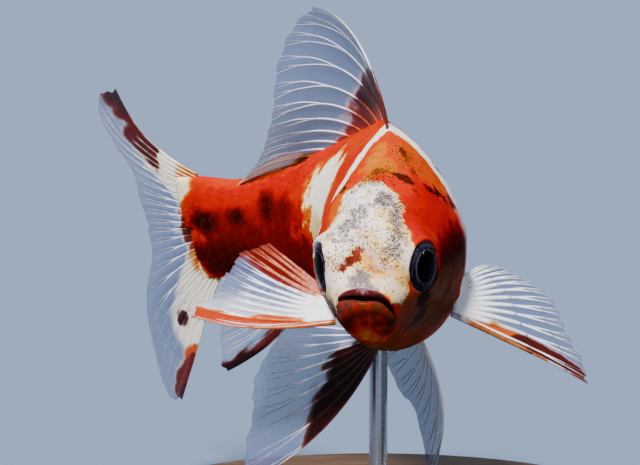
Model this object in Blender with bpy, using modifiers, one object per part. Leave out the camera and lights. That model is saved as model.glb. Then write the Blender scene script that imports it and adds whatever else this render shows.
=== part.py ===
"""A calico goldfish at life size, swimming towards the viewer, held by a rod on a round base.

The fish is drawn straight first: `along` runs from the snout to the tail, `left` to the fish's
own left and `up` to its back, all in hundredths of its standard length. bend() then lays these
coordinates along the curved spine and gives metres. The fish faces -Y, its left is +X and +Z is
up. The origin is the centre of the base's underside.
"""
import bpy
import numpy as np
from mathutils import Vector

# Driving dimensions, in metres
STANDARD_LENGTH = 0.085         # tip of the snout to the root of the tail fin
UNIT = STANDARD_LENGTH / 100    # the tables' unit
GAP = 0.0003                    # between neighbouring pieces
FIN_ROOT_THICKNESS = 0.0012
FIN_EDGE_THICKNESS = 0.0006
FIN_TIP_ROUNDING = 0.07         # of its length, taken off a fin's leading ray
GILL_COVER_THICKNESS = 0.0011
SPINE_HEIGHT = 0.0485           # from the floor to the spine above the rod
BASE_RADIUS = 0.040
BASE_THICKNESS = 0.006
BASE_EDGE_RADIUS = 0.0015
ROD_RADIUS = 0.0014
ROD_DEPTH_IN_BASE = 0.004
ROD_DEPTH_IN_BODY = 0.006
COLLAR_RADIUS = 0.0034
COLLAR_HEIGHT = 0.0022

GAP_UNITS = GAP / UNIT
ROD_ALONG = 56.0                # the spine's point over the base's centre
BODY_SIDES = 32
HEAD_RINGS = np.array((0.012, 0.04, 0.09, 0.15, 0.22, 0.29, 0.36, 0.43, 0.51, 0.61, 0.73, 0.86, 1.0))
JAW_RINGS = 9                   # how many of the head's rings, which are shares of its length
TRUNK_RINGS = 12
STALK_RINGS = 7
EYE_SEGMENTS = 20
ROD_SIDES = 20
TURN_STEPS = 36
SMOOTH_BELOW = np.radians(40)   # edges sharper than this stay sharp

# The spine: along, heading (tail towards the fish's right), pitch (tail up), roll, in degrees
SPINE = np.array([
    (0, -8.3, 7, 1.5),
    (28, -8.3, 7, 2),
    (45, 3.5, 3, 3),
    (62, 28, -3, 4.5),
    (80, 57, -6, 8),
    (96, 64, -6, 13),
    (110, 45, -5, 17),
    (125, 22, -3, 18),
    (145, 0, 0, 18),
], float)

# The body: along, back, belly, widest level, half width, squareness above and below
BODY = np.array([
    (0.0, -2.2, -2.2, -2.2, 0.0, 2.00, 2.0),
    (1.0, -0.2, -5.6, -2.8, 3.2, 2.10, 2.0),
    (3.0, 1.6, -8.6, -3.0, 5.1, 2.10, 1.85),
    (6.5, 4.1, -11.2, -2.6, 7.0, 2.15, 1.7),
    (12.0, 7.5, -13.7, -1.6, 8.8, 2.35, 1.65),
    (20.0, 11.8, -16.2, -1.4, 10.9, 1.85, 1.65),
    (29.0, 15.7, -18.6, -1.2, 12.4, 1.5, 1.85),
    (38.0, 18.2, -19.8, -0.6, 12.9, 1.38, 2.15),
    (47.0, 18.3, -19.6, -0.2, 12.4, 1.44, 2.0),
    (58.0, 16.2, -18.2, 0.2, 10.8, 1.60, 1.9),
    (70.0, 12.8, -15.4, 0.2, 8.1, 1.80, 1.9),
    (82.0, 9.8, -12.0, -0.2, 5.4, 2.00, 2.0),
    (92.0, 8.5, -10.0, -0.4, 3.6, 2.00, 2.0),
    (100.0, 9.0, -10.6, -0.4, 2.0, 2.00, 2.0),
])
BODY_END = BODY[-1, 0]
TRUNK_END = 77.0

# The gill opening: how far back the head reaches, by the angle above the widest level
GILL_ANGLES = (-90, -50, -10, 30, 58, 90)
GILL_EDGE = (21.5, 26.5, 30.5, 29.0, 27.5, 25.5)
GILL_COVER_TOP = 50.0
GILL_COVER_BOTTOM = -62.0
GILL_COVER_FRONT = (21.0, 19.5, 22.0)
GILL_COVER_RISE = 0.45

# The eye: an oblate ball that looks out and a little forward
EYE_CENTRE = np.array((12.15, 6.38, 0.65))
EYE_TURN = np.radians(27.0)
EYE_RADIUS = 5.6
EYE_DEPTH = 3.2
EYE_RIM = 4.4                   # the rim's radius
EYE_RIM_DEPTH = 2.1             # from the eye's centre out to the rim
EYE_RIM_RISE = 2.0              # the most that the rim stands over the head
EYE_RIM_WIDTH = (1.4, 3.0)      # where the head is lowered and where it is raised

# The mouth, seen from the side: its slit drops backwards from the lips to the corners
MOUTH_LEVEL = -1.9
MOUTH_SLOPE = -0.95
MOUTH_CORNER = 2.5
JAW_BACK = 9.0
LIP_HALF = 5.6

# Paired fins: the root, its spread, the leading and the trailing ray's way, the rays' lengths, how
# far they close up, their cup and the points along a ray
PAIRED_FINS = {
    "pectoral_fin_left": ((29.1, 10.4, -11), (3, 0.6, 3), (0.785, 0.133, -0.395), (0.27, 0.68, 0.67),
                          (30, 23, 20.5, 15, 9), 0.45, (-0.03, 0.06, -0.01), 9),
    "pectoral_fin_right": ((29.5, -9.9, -12), (3, -0.6, 3.4), (-0.925, 0.07, -0.16), (-0.43, 0.71, 0.29),
                           (29.5, 24, 23, 22.5, 19.5), 0.6, (0.08, 0.10, 0.17), 9),
    "pelvic_fin_left": ((44.2, 3.9, -19), (3.5, 0.33, 0.4), (0.455, -0.225, -0.8), (0.035, 0.66, -0.2),
                        (29.5, 30, 20, 21, 21.5), 0.87, (-0.4, 0.1, 0.01), 10),
    "pelvic_fin_right": ((44, -2.6, -19), (3.6, -0.33, 0.4), (-0.38, 0.05, -0.915), (-0.78, 0.58, -0.02),
                         (39, 29.5, 24.5, 19, 16), 0.74, (-0.25, 0.13, 0.19), 10),
}
PAIRED_RAYS = 10


def smooth(stations, values, at):
    """A cubic curve through the stations that never leaves their range."""
    x = np.asarray(stations, float)
    v = np.asarray(values, float)
    step = np.diff(x)
    rise = np.diff(v) / step
    slope = np.empty_like(v)
    slope[0] = rise[0]
    slope[-1] = rise[-1]
    slope[1:-1] = (rise[:-1] * step[1:] + rise[1:] * step[:-1]) / (step[:-1] + step[1:])
    at = np.clip(np.asarray(at, float), x[0], x[-1])
    k = np.clip(np.searchsorted(x, at, side="right") - 1, 0, len(x) - 2)
    t = (at - x[k]) / step[k]
    start = (1 + 2 * t) * (1 - t) ** 2 * v[k] + t * (1 - t) ** 2 * step[k] * slope[k]
    end = t * t * (3 - 2 * t) * v[k + 1] + t * t * (t - 1) * step[k] * slope[k + 1]
    return start + end


def spine_frames():
    """Stations along the spine, with its points and its backward, left and up directions."""
    along = np.arange(0, SPINE[-1, 0] + 0.5, 0.5)
    heading, pitch, roll = (np.radians(smooth(SPINE[:, 0], SPINE[:, k], along)) for k in (1, 2, 3))
    back = np.stack([-np.sin(heading) * np.cos(pitch), np.cos(heading) * np.cos(pitch), np.sin(pitch)], 1)
    level = np.stack([np.cos(heading), np.sin(heading), 0 * heading], 1)
    upright = np.cross(level, back)
    left = level * np.cos(roll)[:, None] + upright * np.sin(roll)[:, None]
    up = upright * np.cos(roll)[:, None] - level * np.sin(roll)[:, None]
    steps = (back[1:] + back[:-1]) / 2 * 0.5
    points = np.concatenate([np.zeros((1, 3)), np.cumsum(steps, 0)])
    anchor = [np.interp(ROD_ALONG, along, points[:, k]) for k in range(3)]
    return along, points - anchor, back, left, up


SPINE_ALONG, SPINE_POINTS, SPINE_BACK, SPINE_LEFT, SPINE_UP = spine_frames()


def bend(straight):
    """Straight coordinates (along, left, up) to places in metres on the bent fish."""
    p = np.asarray(straight, float)
    along = np.clip(p[..., 0], 0, SPINE_ALONG[-1])

    def at(table):
        return np.stack([np.interp(along, SPINE_ALONG, table[:, k]) for k in range(3)], -1)

    place = at(SPINE_POINTS) + at(SPINE_LEFT) * p[..., 1:2] + at(SPINE_UP) * p[..., 2:3]
    place = place + at(SPINE_BACK) * (p[..., 0] - along)[..., None]
    return place * UNIT + (0, 0, SPINE_HEIGHT)


def eye_axis(side):
    """The way an eye looks, in straight coordinates; side is +1 for the left eye."""
    return np.array((-np.sin(EYE_TURN), side * np.cos(EYE_TURN), 0.0))


def eye_centre(side):
    return EYE_CENTRE * (1, side, 1)


def body_point(along, around, margin=0.0):
    """A point of the body's surface; around is 0 on the fish's left and a quarter turn on its back.

    Each section is a superellipse whose upper and lower halves differ; margin swells it.
    """
    root = np.sqrt(np.clip(along, 0, None))
    back, belly, level, half, above, below = (smooth(np.sqrt(BODY[:, 0]), BODY[:, k], root)
                                              for k in range(1, 7))
    cosine = np.cos(around)
    sine = np.sin(around)
    power = 2 / np.where(sine >= 0, above, below)
    reach = np.where(sine >= 0, back - level, level - belly) + margin
    left = (half + margin) * np.sign(cosine) * np.abs(cosine) ** power
    up = level + reach * np.sign(sine) * np.abs(sine) ** power
    return np.stack([along + 0 * left, left, up], -1)


def head_relief(p):
    """The same points with the lips rolled forward and the head levelled into a rim round each eye.

    A rim lies square to the way that its eye looks, so that it shows the eye as a full disc.
    """
    above_slit = p[..., 2] - (MOUTH_LEVEL + MOUTH_SLOPE * p[..., 0])
    front = np.clip((5.0 - p[..., 0]) / 2.5, 0, 1) * np.clip((LIP_HALF - np.abs(p[..., 1])) / 1.5, 0, 1)
    lips = 0.75 * np.exp(-((above_slit - 1.2) / 1.0) ** 2) + 0.85 * np.exp(-((above_slit + 1.4) / 1.2) ** 2)
    from_throat = p - np.array((7.0, 0.0, -4.0))
    relief = from_throat / np.linalg.norm(from_throat, axis=-1, keepdims=True) * (lips * front)[..., None]
    for side in (1, -1):
        out = p - eye_centre(side)
        depth = out @ eye_axis(side)
        off_axis = np.linalg.norm(out - depth[..., None] * eye_axis(side), axis=-1)
        level = np.minimum(EYE_RIM_DEPTH - depth, EYE_RIM_RISE)
        beyond = np.clip((off_axis - EYE_RIM) / np.where(level < 0, *EYE_RIM_WIDTH), 0, 1)
        hold = (1 - beyond * beyond * (3 - 2 * beyond)) * (depth > -EYE_DEPTH)
        relief = relief + (hold * level)[..., None] * eye_axis(side)
    return p + relief


def gill_edge(around):
    """How far back the gill cover reaches at an angle round the body."""
    angle = np.degrees(np.arcsin(np.sin(around)))
    return smooth(GILL_ANGLES, GILL_EDGE, angle)


def new_material(name, colour, roughness, metallic=0.0):
    material = bpy.data.materials.new(name)
    material.use_nodes = True
    shader = material.node_tree.nodes["Principled BSDF"]
    shader.inputs["Base Color"].default_value = (*colour, 1)
    shader.inputs["Roughness"].default_value = roughness
    shader.inputs["Metallic"].default_value = metallic
    material.diffuse_color = (*colour, 1)
    return material


def new_object(name, points, faces, collection, material=None):
    mesh = bpy.data.meshes.new(name)
    mesh.from_pydata([tuple(p) for p in points], [], [tuple(map(int, face)) for face in faces])
    mesh.shade_smooth()
    mesh.set_sharp_from_angle(angle=SMOOTH_BELOW)
    obj = bpy.data.objects.new(name, mesh)
    collection.objects.link(obj)
    if material:
        mesh.materials.append(material)
    return obj


def grid_faces(rows, columns, closed):
    """Quads between neighbouring rows; a closed grid also joins the last column to the first."""
    last = columns if closed else columns - 1
    row, column = np.meshgrid(np.arange(rows - 1), np.arange(last), indexing="ij")
    here = (row * columns + column).ravel()
    beside = (row * columns + (column + 1) % columns).ravel()
    return np.stack([here, here + columns, beside + columns, beside], 1).tolist()


def add_loft(name, along, collection, material=None, margin=0.0, relief=False):
    """A closed length of body between rings; along holds each ring's stations, front to back.

    Each end is closed by a fan, and a fan at the snout's tip is the tip itself.
    """
    around = np.linspace(0, 2 * np.pi, along.shape[1], endpoint=False)
    rings = body_point(along, around[None, :] + 0 * along, margin)
    if relief:
        rings = head_relief(rings)
    rows, columns = along.shape
    front = rings[0].mean(0)
    if relief:
        front = head_relief(body_point(np.zeros(1), np.zeros(1)))[0]
    points = np.concatenate([rings.reshape(-1, 3), front[None], rings[-1].mean(0)[None]])
    faces = grid_faces(rows, columns, True)
    tip = rows * columns
    ring = np.arange(columns)
    beside = (ring + 1) % columns
    last = (rows - 1) * columns
    faces += [(tip, a, b) for a, b in zip(ring, beside)]
    faces += [(tip + 1, last + b, last + a) for a, b in zip(ring, beside)]
    return new_object(name, bend(points), faces, collection, material)


def cut(obj, cutter, operation="DIFFERENCE"):
    boolean = obj.modifiers.new("cut by " + cutter.name, "BOOLEAN")
    boolean.operation = operation
    boolean.object = cutter
    boolean.solver = "EXACT"


def as_cutter(obj):
    obj.hide_render = True
    obj.display_type = "WIRE"
    return obj


def solidify(obj, thickness, offset):
    shell = obj.modifiers.new("thickness", "SOLIDIFY")
    shell.thickness = thickness
    shell.offset = offset
    return shell


def turned(name, profile, collection, material):
    """A solid turned round Z from a profile of (radius, height), which runs down its outer side."""
    points = [(radius, 0, height) for radius, height in profile]
    edges = [(k, k + 1) for k in range(len(points) - 1)]
    mesh = bpy.data.meshes.new(name)
    mesh.from_pydata(points, edges, [])
    mesh.materials.append(material)
    obj = bpy.data.objects.new(name, mesh)
    collection.objects.link(obj)
    screw = obj.modifiers.new("turn", "SCREW")
    screw.steps = TURN_STEPS
    screw.render_steps = TURN_STEPS
    screw.use_merge_vertices = True
    screw.merge_threshold = 0.00001
    return obj


def cylinder(name, radius, low, high, collection, material=None):
    bpy.ops.mesh.primitive_cylinder_add(vertices=ROD_SIDES, radius=radius, depth=high - low,
                                        location=(0, 0, (low + high) / 2))
    obj = bpy.context.active_object
    obj.name = name
    move_to(obj, collection)
    if material:
        obj.data.materials.append(material)
    obj.data.shade_smooth()
    obj.data.set_sharp_from_angle(angle=SMOOTH_BELOW)
    return obj


def move_to(obj, collection):
    for holder in list(obj.users_collection):
        holder.objects.unlink(obj)
    collection.objects.link(obj)


def add_eye(name, side, margin, collection, material=None):
    """An oblate ball, flattened along the way that it looks."""
    centre = bend(eye_centre(side))
    axis = Vector(bend(eye_centre(side) + eye_axis(side)) - centre)
    bpy.ops.mesh.primitive_uv_sphere_add(segments=EYE_SEGMENTS, ring_count=EYE_SEGMENTS // 2, radius=1,
                                         location=tuple(centre))
    obj = bpy.context.active_object
    obj.name = name
    across = EYE_RADIUS * UNIT + margin
    obj.scale = (across, across, EYE_DEPTH * UNIT + margin)
    obj.rotation_mode = "QUATERNION"
    obj.rotation_quaternion = axis.to_track_quat("Z", "Y")
    move_to(obj, collection)
    obj.data.shade_smooth()
    if material:
        obj.data.materials.append(material)
    return obj


def gill_patch(name, side, rise, margin, back_margin, collection, material=None):
    """An open patch of the body's side, from the cheek back to the gill opening."""
    bottom = np.radians(GILL_COVER_BOTTOM) - margin / 14
    top = np.radians(GILL_COVER_TOP) + margin / 14
    angle = np.linspace(bottom, top, 12)
    front = smooth((bottom, 0, top), GILL_COVER_FRONT, angle) - margin
    t = np.linspace(0, 1, 6)
    along = front[:, None] + (gill_edge(angle) + back_margin - front)[:, None] * t
    around = angle[:, None] + 0 * along
    points = body_point(along, around if side > 0 else np.pi - around, rise)
    faces = grid_faces(12, 6, False)
    if side > 0:
        faces = [face[::-1] for face in faces]
    return new_object(name, bend(points.reshape(-1, 3)), faces, collection, material)


def jaw_prism(name, margin, collection):
    """A block under the mouth slit and ahead of the chin's back, right across the head."""
    front = -4.0
    outline = [
        (front, MOUTH_LEVEL + MOUTH_SLOPE * front + margin),
        (MOUTH_CORNER + margin, MOUTH_LEVEL + MOUTH_SLOPE * MOUTH_CORNER + margin),
        (JAW_BACK + margin, -20.0),
        (front, -20.0),
    ]
    width = 14.0
    points = [(along, side * width, up) for side in (-1, 1) for along, up in outline]
    faces = [(0, 1, 2, 3), (7, 6, 5, 4)]
    faces += [(k + 4, (k + 1) % 4 + 4, (k + 1) % 4, k) for k in range(4)]
    return new_object(name, bend(np.array(points)), faces, collection)


def tapered(lengths, shares):
    """Ray lengths read at each share of the fan, with its outermost ray cut back to a rounded tip."""
    whole = smooth(np.linspace(0, 1, len(lengths)), lengths, shares)
    return whole * (1 - FIN_TIP_ROUNDING * np.exp(-(shares / 0.07) ** 2))


def median_fin(base, length, root_angle, tip_angle, curl, count, curl_power=2.0):
    """Rays of a fin on the body's middle plane, as a grid of straight coordinates.

    Each ray leaves its base point at root_angle above the spine's line, turns evenly to
    tip_angle, and its tip curls to the fish's left by curl.
    """
    t = np.linspace(0, 1, count)
    angle = np.radians(root_angle[:, None] + (tip_angle - root_angle)[:, None] * (t[1:] + t[:-1]) / 2)
    step = length[:, None] / (count - 1)
    start = np.zeros((len(length), 1))
    back = np.concatenate([start, np.cumsum(np.cos(angle) * step, 1)], 1)
    rise = np.concatenate([start, np.cumsum(np.sin(angle) * step, 1)], 1)
    offset = np.stack([back, curl[:, None] * t ** curl_power, rise], -1)
    return base[:, None, :] + offset


def paired_fin(root, spread, lead, trail, lengths, closing, cup, count):
    """Rays of a fan-shaped fin, as a grid of places in metres.

    Their directions turn from lead to trail, and close up towards lead as they run out; cup
    bends the tips over. root and spread are straight coordinates, the rest is in the room's axes.
    """
    j = np.linspace(0, 1, PAIRED_RAYS)
    t = np.linspace(0, 1, count)
    first = np.array(lead) / np.linalg.norm(lead)
    last = np.array(trail) / np.linalg.norm(trail)
    spread_angle = np.arccos(first @ last)
    turn = (j[:, None] * (1 + (closing - 1) * t)) * spread_angle
    way = np.sin(spread_angle - turn)[..., None] * first + np.sin(turn)[..., None] * last
    way = way / np.sin(spread_angle)
    length = tapered(lengths, j)[:, None, None] * UNIT
    steps = (way[:, 1:] + way[:, :-1]) / 2 / (count - 1) * length
    run = np.concatenate([np.zeros((PAIRED_RAYS, 1, 3)), np.cumsum(steps, 1)], 1)
    roots = bend(np.array(root) + (j[:, None] - 0.3) * np.array(spread))
    return roots[:, None, :] + run + t[:, None] ** 2 * length * np.array(cup)


def add_fin(name, grid, collection, material, cutters):
    """A sheet of skin over the rays, thicker at its root, and cut clear of the body."""
    rays, count = grid.shape[:2]
    obj = new_object(name, grid.reshape(-1, 3), grid_faces(rays, count, False), collection, material)
    group = obj.vertex_groups.new(name="root")
    for k in range(count):
        group.add([j * count + k for j in range(rays)], 1 - k / (count - 1), "REPLACE")
    shell = solidify(obj, FIN_ROOT_THICKNESS, 0)
    shell.vertex_group = "root"
    shell.thickness_vertex_group = FIN_EDGE_THICKNESS / FIN_ROOT_THICKNESS
    for cutter in cutters:
        cut(obj, cutter)
    return obj


def dorsal_grid():
    j = np.linspace(0, 1, 17)
    along = 38 + 38 * j
    base = np.stack([along, 0 * j, body_point(along, np.full(17, np.pi / 2))[:, 2] - 0.9], 1)
    length = tapered((33, 28, 20.5, 16.5, 16), j)
    root_angle = smooth((0, 0.5, 1), (83, 40, -7), j)
    tip_angle = smooth((0, 0.5, 1), (12, -18, -15), j)
    curl = smooth((0, 0.5, 1), (-9, -8.5, -1), j)
    return bend(median_fin(base, length, root_angle, tip_angle, curl, 10, 1.4))


def anal_grid():
    j = np.linspace(0, 1, 9)
    along = 79 + 8 * j
    base = np.stack([along, 0 * j, body_point(along, np.full(9, -np.pi / 2))[:, 2] + 0.9], 1)
    length = tapered((29, 20.5, 10), j)
    root_angle = -57 + 17 * j
    tip_angle = -18 + 14 * j
    return bend(median_fin(base, length, root_angle, tip_angle, -2.8 + 0 * j, 10))


def tail_grid(top, root_height, lengths, root_turn, tip_turn, curl):
    """Half of the tail fin, from beside its fork (j near 0) to its outer edge (j = 1)."""
    j = np.linspace(0.02, 1, 12)
    sign = 1 if top else -1
    base = np.stack([98.8 + 0 * j, 0 * j, sign * root_height * j], 1)
    length = tapered(lengths, 1 - j)
    return bend(median_fin(base, length, sign * root_turn * j, sign * tip_turn * j, curl * j ** 2, 11))


def build_body(parts, cutters, colours):
    """Head, jaw, gill covers, trunk, tail stalk and eyes, parted by thin cuts."""
    around = np.linspace(0, 2 * np.pi, BODY_SIDES, endpoint=False)
    edge = gill_edge(around)
    head_rings = HEAD_RINGS[:, None] * edge
    head = add_loft("head", head_rings, parts, colours["white"], relief=True)
    jaw = add_loft("lower_jaw", head_rings[:JAW_RINGS], parts, colours["lip"], relief=True)
    cut(jaw, as_cutter(jaw_prism("jaw_block", 0.0, cutters)), "INTERSECT")
    cut(head, as_cutter(jaw_prism("jaw_space", GAP_UNITS, cutters)))
    for side, word in ((1, "left"), (-1, "right")):
        add_eye("eye_" + word, side, 0.0, parts, colours["eye"])
        cut(head, as_cutter(add_eye("eye_socket_" + word, side, GAP, cutters)))
        cover = gill_patch("gill_cover_" + word, side, GILL_COVER_RISE, 0.0, 0.0, parts, colours["orange"])
        solidify(cover, GILL_COVER_THICKNESS, -1)
        above = 1.5
        recess = gill_patch("gill_space_" + word, side, above, 1.2 * GAP_UNITS, 1.5, cutters)
        solidify(recess, GILL_COVER_THICKNESS + GAP + (above - GILL_COVER_RISE) * UNIT, -1)
        cut(head, as_cutter(recess))
    start = edge + 1.4 * GAP_UNITS
    t = np.linspace(0, 1, TRUNK_RINGS)[:, None]
    trunk = add_loft("trunk", start + (TRUNK_END - start) * t, parts, colours["orange"])
    start = TRUNK_END + GAP_UNITS
    t = np.linspace(0, 1, STALK_RINGS)[:, None]
    stalk_rings = start + (BODY_END - start) * t + 0 * around
    add_loft("tail_stalk", stalk_rings, parts, colours["red"])
    return trunk


def build_fins(parts, cutters, colours):
    around = np.linspace(0, 2 * np.pi, BODY_SIDES, endpoint=False)
    stations = np.concatenate([np.linspace(4, BODY_END, 26), [BODY_END + GAP_UNITS]])
    clear = [as_cutter(add_loft("body_space", stations[:, None] + 0 * around, cutters, margin=GAP_UNITS))]
    add_fin("dorsal_fin", dorsal_grid(), parts, colours["fin"], clear)
    add_fin("anal_fin", anal_grid(), parts, colours["dark fin"], clear)
    upper = tail_grid(True, 9.9, (25, 27.5, 17, 15.5, 15), 31, 68, 1.5)
    lower = tail_grid(False, 10.2, (31.5, 37, 33, 19, 16), 53, 56, -3.4)
    add_fin("tail_fin_upper", upper, parts, colours["fin"], clear)
    add_fin("tail_fin_lower", lower, parts, colours["fin"], clear)
    for side, word in ((1, "left"), (-1, "right")):
        space = gill_patch("gill_cover_space_" + word, side, GILL_COVER_RISE + GAP_UNITS,
                           0.0, 1.2 * GAP_UNITS, cutters)
        solidify(space, GILL_COVER_THICKNESS + GAP, -1)
        pectoral = "pectoral_fin_" + word
        pelvic = "pelvic_fin_" + word
        pelvic_colour = colours["fin" if side > 0 else "dark fin"]
        add_fin(pectoral, paired_fin(*PAIRED_FINS[pectoral]), parts, colours["fin"],
                clear + [as_cutter(space)])
        add_fin(pelvic, paired_fin(*PAIRED_FINS[pelvic]), parts, pelvic_colour, clear)


def build_stand(parts, cutters, colours, trunk):
    """A turned base, a steel rod let into it and into the belly, and a collar round its foot."""
    hole = ROD_RADIUS + GAP
    floor = BASE_THICKNESS - ROD_DEPTH_IN_BASE
    edge = BASE_EDGE_RADIUS
    turn = np.linspace(0, np.pi / 2, 5)
    upper_edge = [(BASE_RADIUS - edge + edge * np.sin(angle), BASE_THICKNESS - edge + edge * np.cos(angle))
                  for angle in turn]
    foot = edge / 3
    profile = [(0, floor), (hole, floor), (hole, BASE_THICKNESS), *upper_edge,
               (BASE_RADIUS, foot), (BASE_RADIUS - foot, 0), (0, 0)]
    turned("stand_base", profile, parts, colours["base"])

    low = BASE_THICKNESS + GAP
    high = low + COLLAR_HEIGHT
    chamfer = COLLAR_RADIUS / 5
    profile = [(hole, low), (hole, high), (COLLAR_RADIUS - chamfer, high), (COLLAR_RADIUS, high - chamfer),
               (COLLAR_RADIUS, low), (hole, low)]
    turned("stand_collar", profile, parts, colours["steel"])

    belly = bend(body_point(np.array([ROD_ALONG]), np.array([-np.pi / 2])))[0, 2]
    top = belly + ROD_DEPTH_IN_BODY
    cylinder("stand_rod", ROD_RADIUS, floor + GAP, top, parts, colours["steel"])
    socket = cylinder("rod_socket", hole, belly - ROD_DEPTH_IN_BODY, top + GAP, cutters)
    cut(trunk, as_cutter(socket))


def main():
    for obj in list(bpy.data.objects):
        bpy.data.objects.remove(obj, do_unlink=True)
    parts = bpy.data.collections.new("goldfish")
    cutters = bpy.data.collections.new("cutters")
    bpy.context.scene.collection.children.link(parts)
    bpy.context.scene.collection.children.link(cutters)
    colours = {
        "white": new_material("white skin", (0.86, 0.78, 0.72), 0.35),
        "orange": new_material("orange skin", (0.75, 0.17, 0.05), 0.35),
        "red": new_material("red skin", (0.45, 0.03, 0.03), 0.35),
        "lip": new_material("lip skin", (0.28, 0.05, 0.03), 0.4),
        "eye": new_material("eye", (0.01, 0.01, 0.015), 0.06),
        "fin": new_material("clear fin", (0.62, 0.66, 0.78), 0.3),
        "dark fin": new_material("dark fin", (0.16, 0.07, 0.06), 0.3),
        "base": new_material("dark stained wood", (0.10, 0.055, 0.03), 0.4),
        "steel": new_material("brushed steel", (0.55, 0.55, 0.56), 0.3, 1.0),
    }
    trunk = build_body(parts, cutters, colours)
    build_fins(parts, cutters, colours)
    build_stand(parts, cutters, colours, trunk)


main()
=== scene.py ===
"""A calico goldfish at life size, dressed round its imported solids.

The fish is worked out straight first: `along` runs from the snout to the tail, `left` to its own
left and `up` to its back, in hundredths of its standard length, and bend() lays these along the
curved spine, in metres. One skin covers the flesh, scales lie over it, every fin is a clear
membrane over branched rays, and a rod on a turned base holds the fish up.
"""
import math

import bpy
import numpy as np
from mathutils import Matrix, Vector


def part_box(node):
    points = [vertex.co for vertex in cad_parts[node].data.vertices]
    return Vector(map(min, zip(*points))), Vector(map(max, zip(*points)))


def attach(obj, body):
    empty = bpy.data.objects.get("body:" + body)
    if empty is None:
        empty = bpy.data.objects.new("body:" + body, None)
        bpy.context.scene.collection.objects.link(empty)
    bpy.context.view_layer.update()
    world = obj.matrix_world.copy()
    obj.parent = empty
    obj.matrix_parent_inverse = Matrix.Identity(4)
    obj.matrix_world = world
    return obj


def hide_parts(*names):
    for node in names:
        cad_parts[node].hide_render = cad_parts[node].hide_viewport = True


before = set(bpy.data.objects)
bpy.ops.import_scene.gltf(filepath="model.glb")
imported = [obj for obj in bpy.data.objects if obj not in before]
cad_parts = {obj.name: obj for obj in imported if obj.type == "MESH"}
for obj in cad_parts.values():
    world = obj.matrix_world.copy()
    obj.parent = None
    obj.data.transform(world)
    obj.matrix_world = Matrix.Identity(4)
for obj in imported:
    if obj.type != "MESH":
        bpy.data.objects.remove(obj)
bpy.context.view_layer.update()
BODY_NAME = "root"

# Sizes of the fish and its stand
UNIT = 0.085 / 100          # a hundredth of the standard length, in metres
SPINE_HEIGHT = 0.0485
ROD_ALONG = 56.0
SKIN_DEPTH = 0.20           # how far the skin lies inside the solids, to leave room for the scales

# The spine: along, heading (tail towards the fish's right), pitch (tail up), roll, in degrees
SPINE = np.array([
    (0, -8.3, 7, 1.5),
    (28, -8.3, 7, 2),
    (45, 3.5, 3, 3),
    (62, 28, -3, 4.5),
    (80, 57, -6, 8),
    (96, 64, -6, 13),
    (110, 45, -5, 17),
    (125, 22, -3, 18),
    (145, 0, 0, 18),
])

# The body: along, back, belly, widest level, half width, squareness above and below
BODY = np.array([
    (0, -2.2, -2.2, -2.2, 0, 2, 2),
    (1, -0.2, -5.6, -2.8, 3.2, 2.1, 2),
    (3, 1.6, -8.6, -3, 5.1, 2.1, 1.85),
    (6.5, 4.1, -11.2, -2.6, 7, 2.15, 1.7),
    (12, 7.5, -13.7, -1.6, 8.8, 2.35, 1.65),
    (20, 11.8, -16.2, -1.4, 10.9, 1.85, 1.65),
    (29, 15.7, -18.6, -1.2, 12.4, 1.5, 1.85),
    (38, 18.2, -19.8, -0.6, 12.9, 1.38, 2.15),
    (47, 18.3, -19.6, -0.2, 12.4, 1.44, 2),
    (58, 16.2, -18.2, 0.2, 10.8, 1.6, 1.9),
    (70, 12.8, -15.4, 0.2, 8.1, 1.8, 1.9),
    (82, 9.8, -12, -0.2, 5.4, 2, 2),
    (92, 8.5, -10, -0.4, 3.6, 2, 2),
    (100, 9, -10.6, -0.4, 2, 2, 2),
    (103, 9.1, -10.8, -0.5, 0.55, 2, 2),
])
SKIN_END = BODY[-1, 0]

# The gill opening: how far back it is, by the angle above the widest level
GILL_EDGE = ((-90, -50, -10, 30, 58, 90), (21.5, 26.5, 30.5, 29.0, 27.5, 25.5))
GILL_BOTTOM = -75
GILL_TOP = 62

EYE_CENTRE = np.array((12.15, 6.38, 0.65))
EYE_TURN = math.radians(27)
EYE_RADIUS = 5.6
EYE_DEPTH = 3.2
EYE_RIM = 4.4
EYE_RIM_DEPTH = 2.1
EYE_RIM_RISE = 2.0
EYE_RIM_WIDTH = (1.4, 3.0)  # where the head is lowered and where it is raised

MOUTH_LEVEL = -1.9
MOUTH_SLOPE = -0.95
LIP_HALF = 5.6
# By left, over the mouth's plane: where the slit runs and where the upper lip ends
SLIT_LINE = ((-4.8, -2.6, 0, 3, 4.2, 4.9), (1.2, 0.6, 0, 0, -0.6, -1.3))
LIP_TOP = ((-4.9, -4.5, -3, -1.2, 1, 2.6, 3.9, 4.9), (0.5, 1.3, 2.2, 2.75, 2.25, 1.6, 0.5, -1.2))
NOSTRIL = np.array((5.6, 3.2, 2.9))


# The form
def smooth(stations, values, at):
    """A cubic curve through the stations that never leaves their range."""
    x = np.asarray(stations, float)
    v = np.asarray(values, float)
    step = np.diff(x)
    rise = np.diff(v) / step
    middle = (rise[:-1] * step[1:] + rise[1:] * step[:-1]) / (step[:-1] + step[1:])
    slope = np.concatenate([rise[:1], middle, rise[-1:]])
    at = np.clip(np.asarray(at, float), x[0], x[-1])
    k = np.clip(np.searchsorted(x, at, side="right") - 1, 0, len(x) - 2)
    t = (at - x[k]) / step[k]
    start = (1 + 2 * t) * (1 - t) ** 2 * v[k] + t * (1 - t) ** 2 * step[k] * slope[k]
    end = t * t * (3 - 2 * t) * v[k + 1] + t * t * (t - 1) * step[k] * slope[k + 1]
    return start + end


def fade(low, high, value):
    """0 at low, 1 at high, with level ends: the cubic 3t^2 - 2t^3."""
    t = np.clip((np.asarray(value, float) - low) / (high - low), 0, 1)
    return t * t * (3 - 2 * t)


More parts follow.
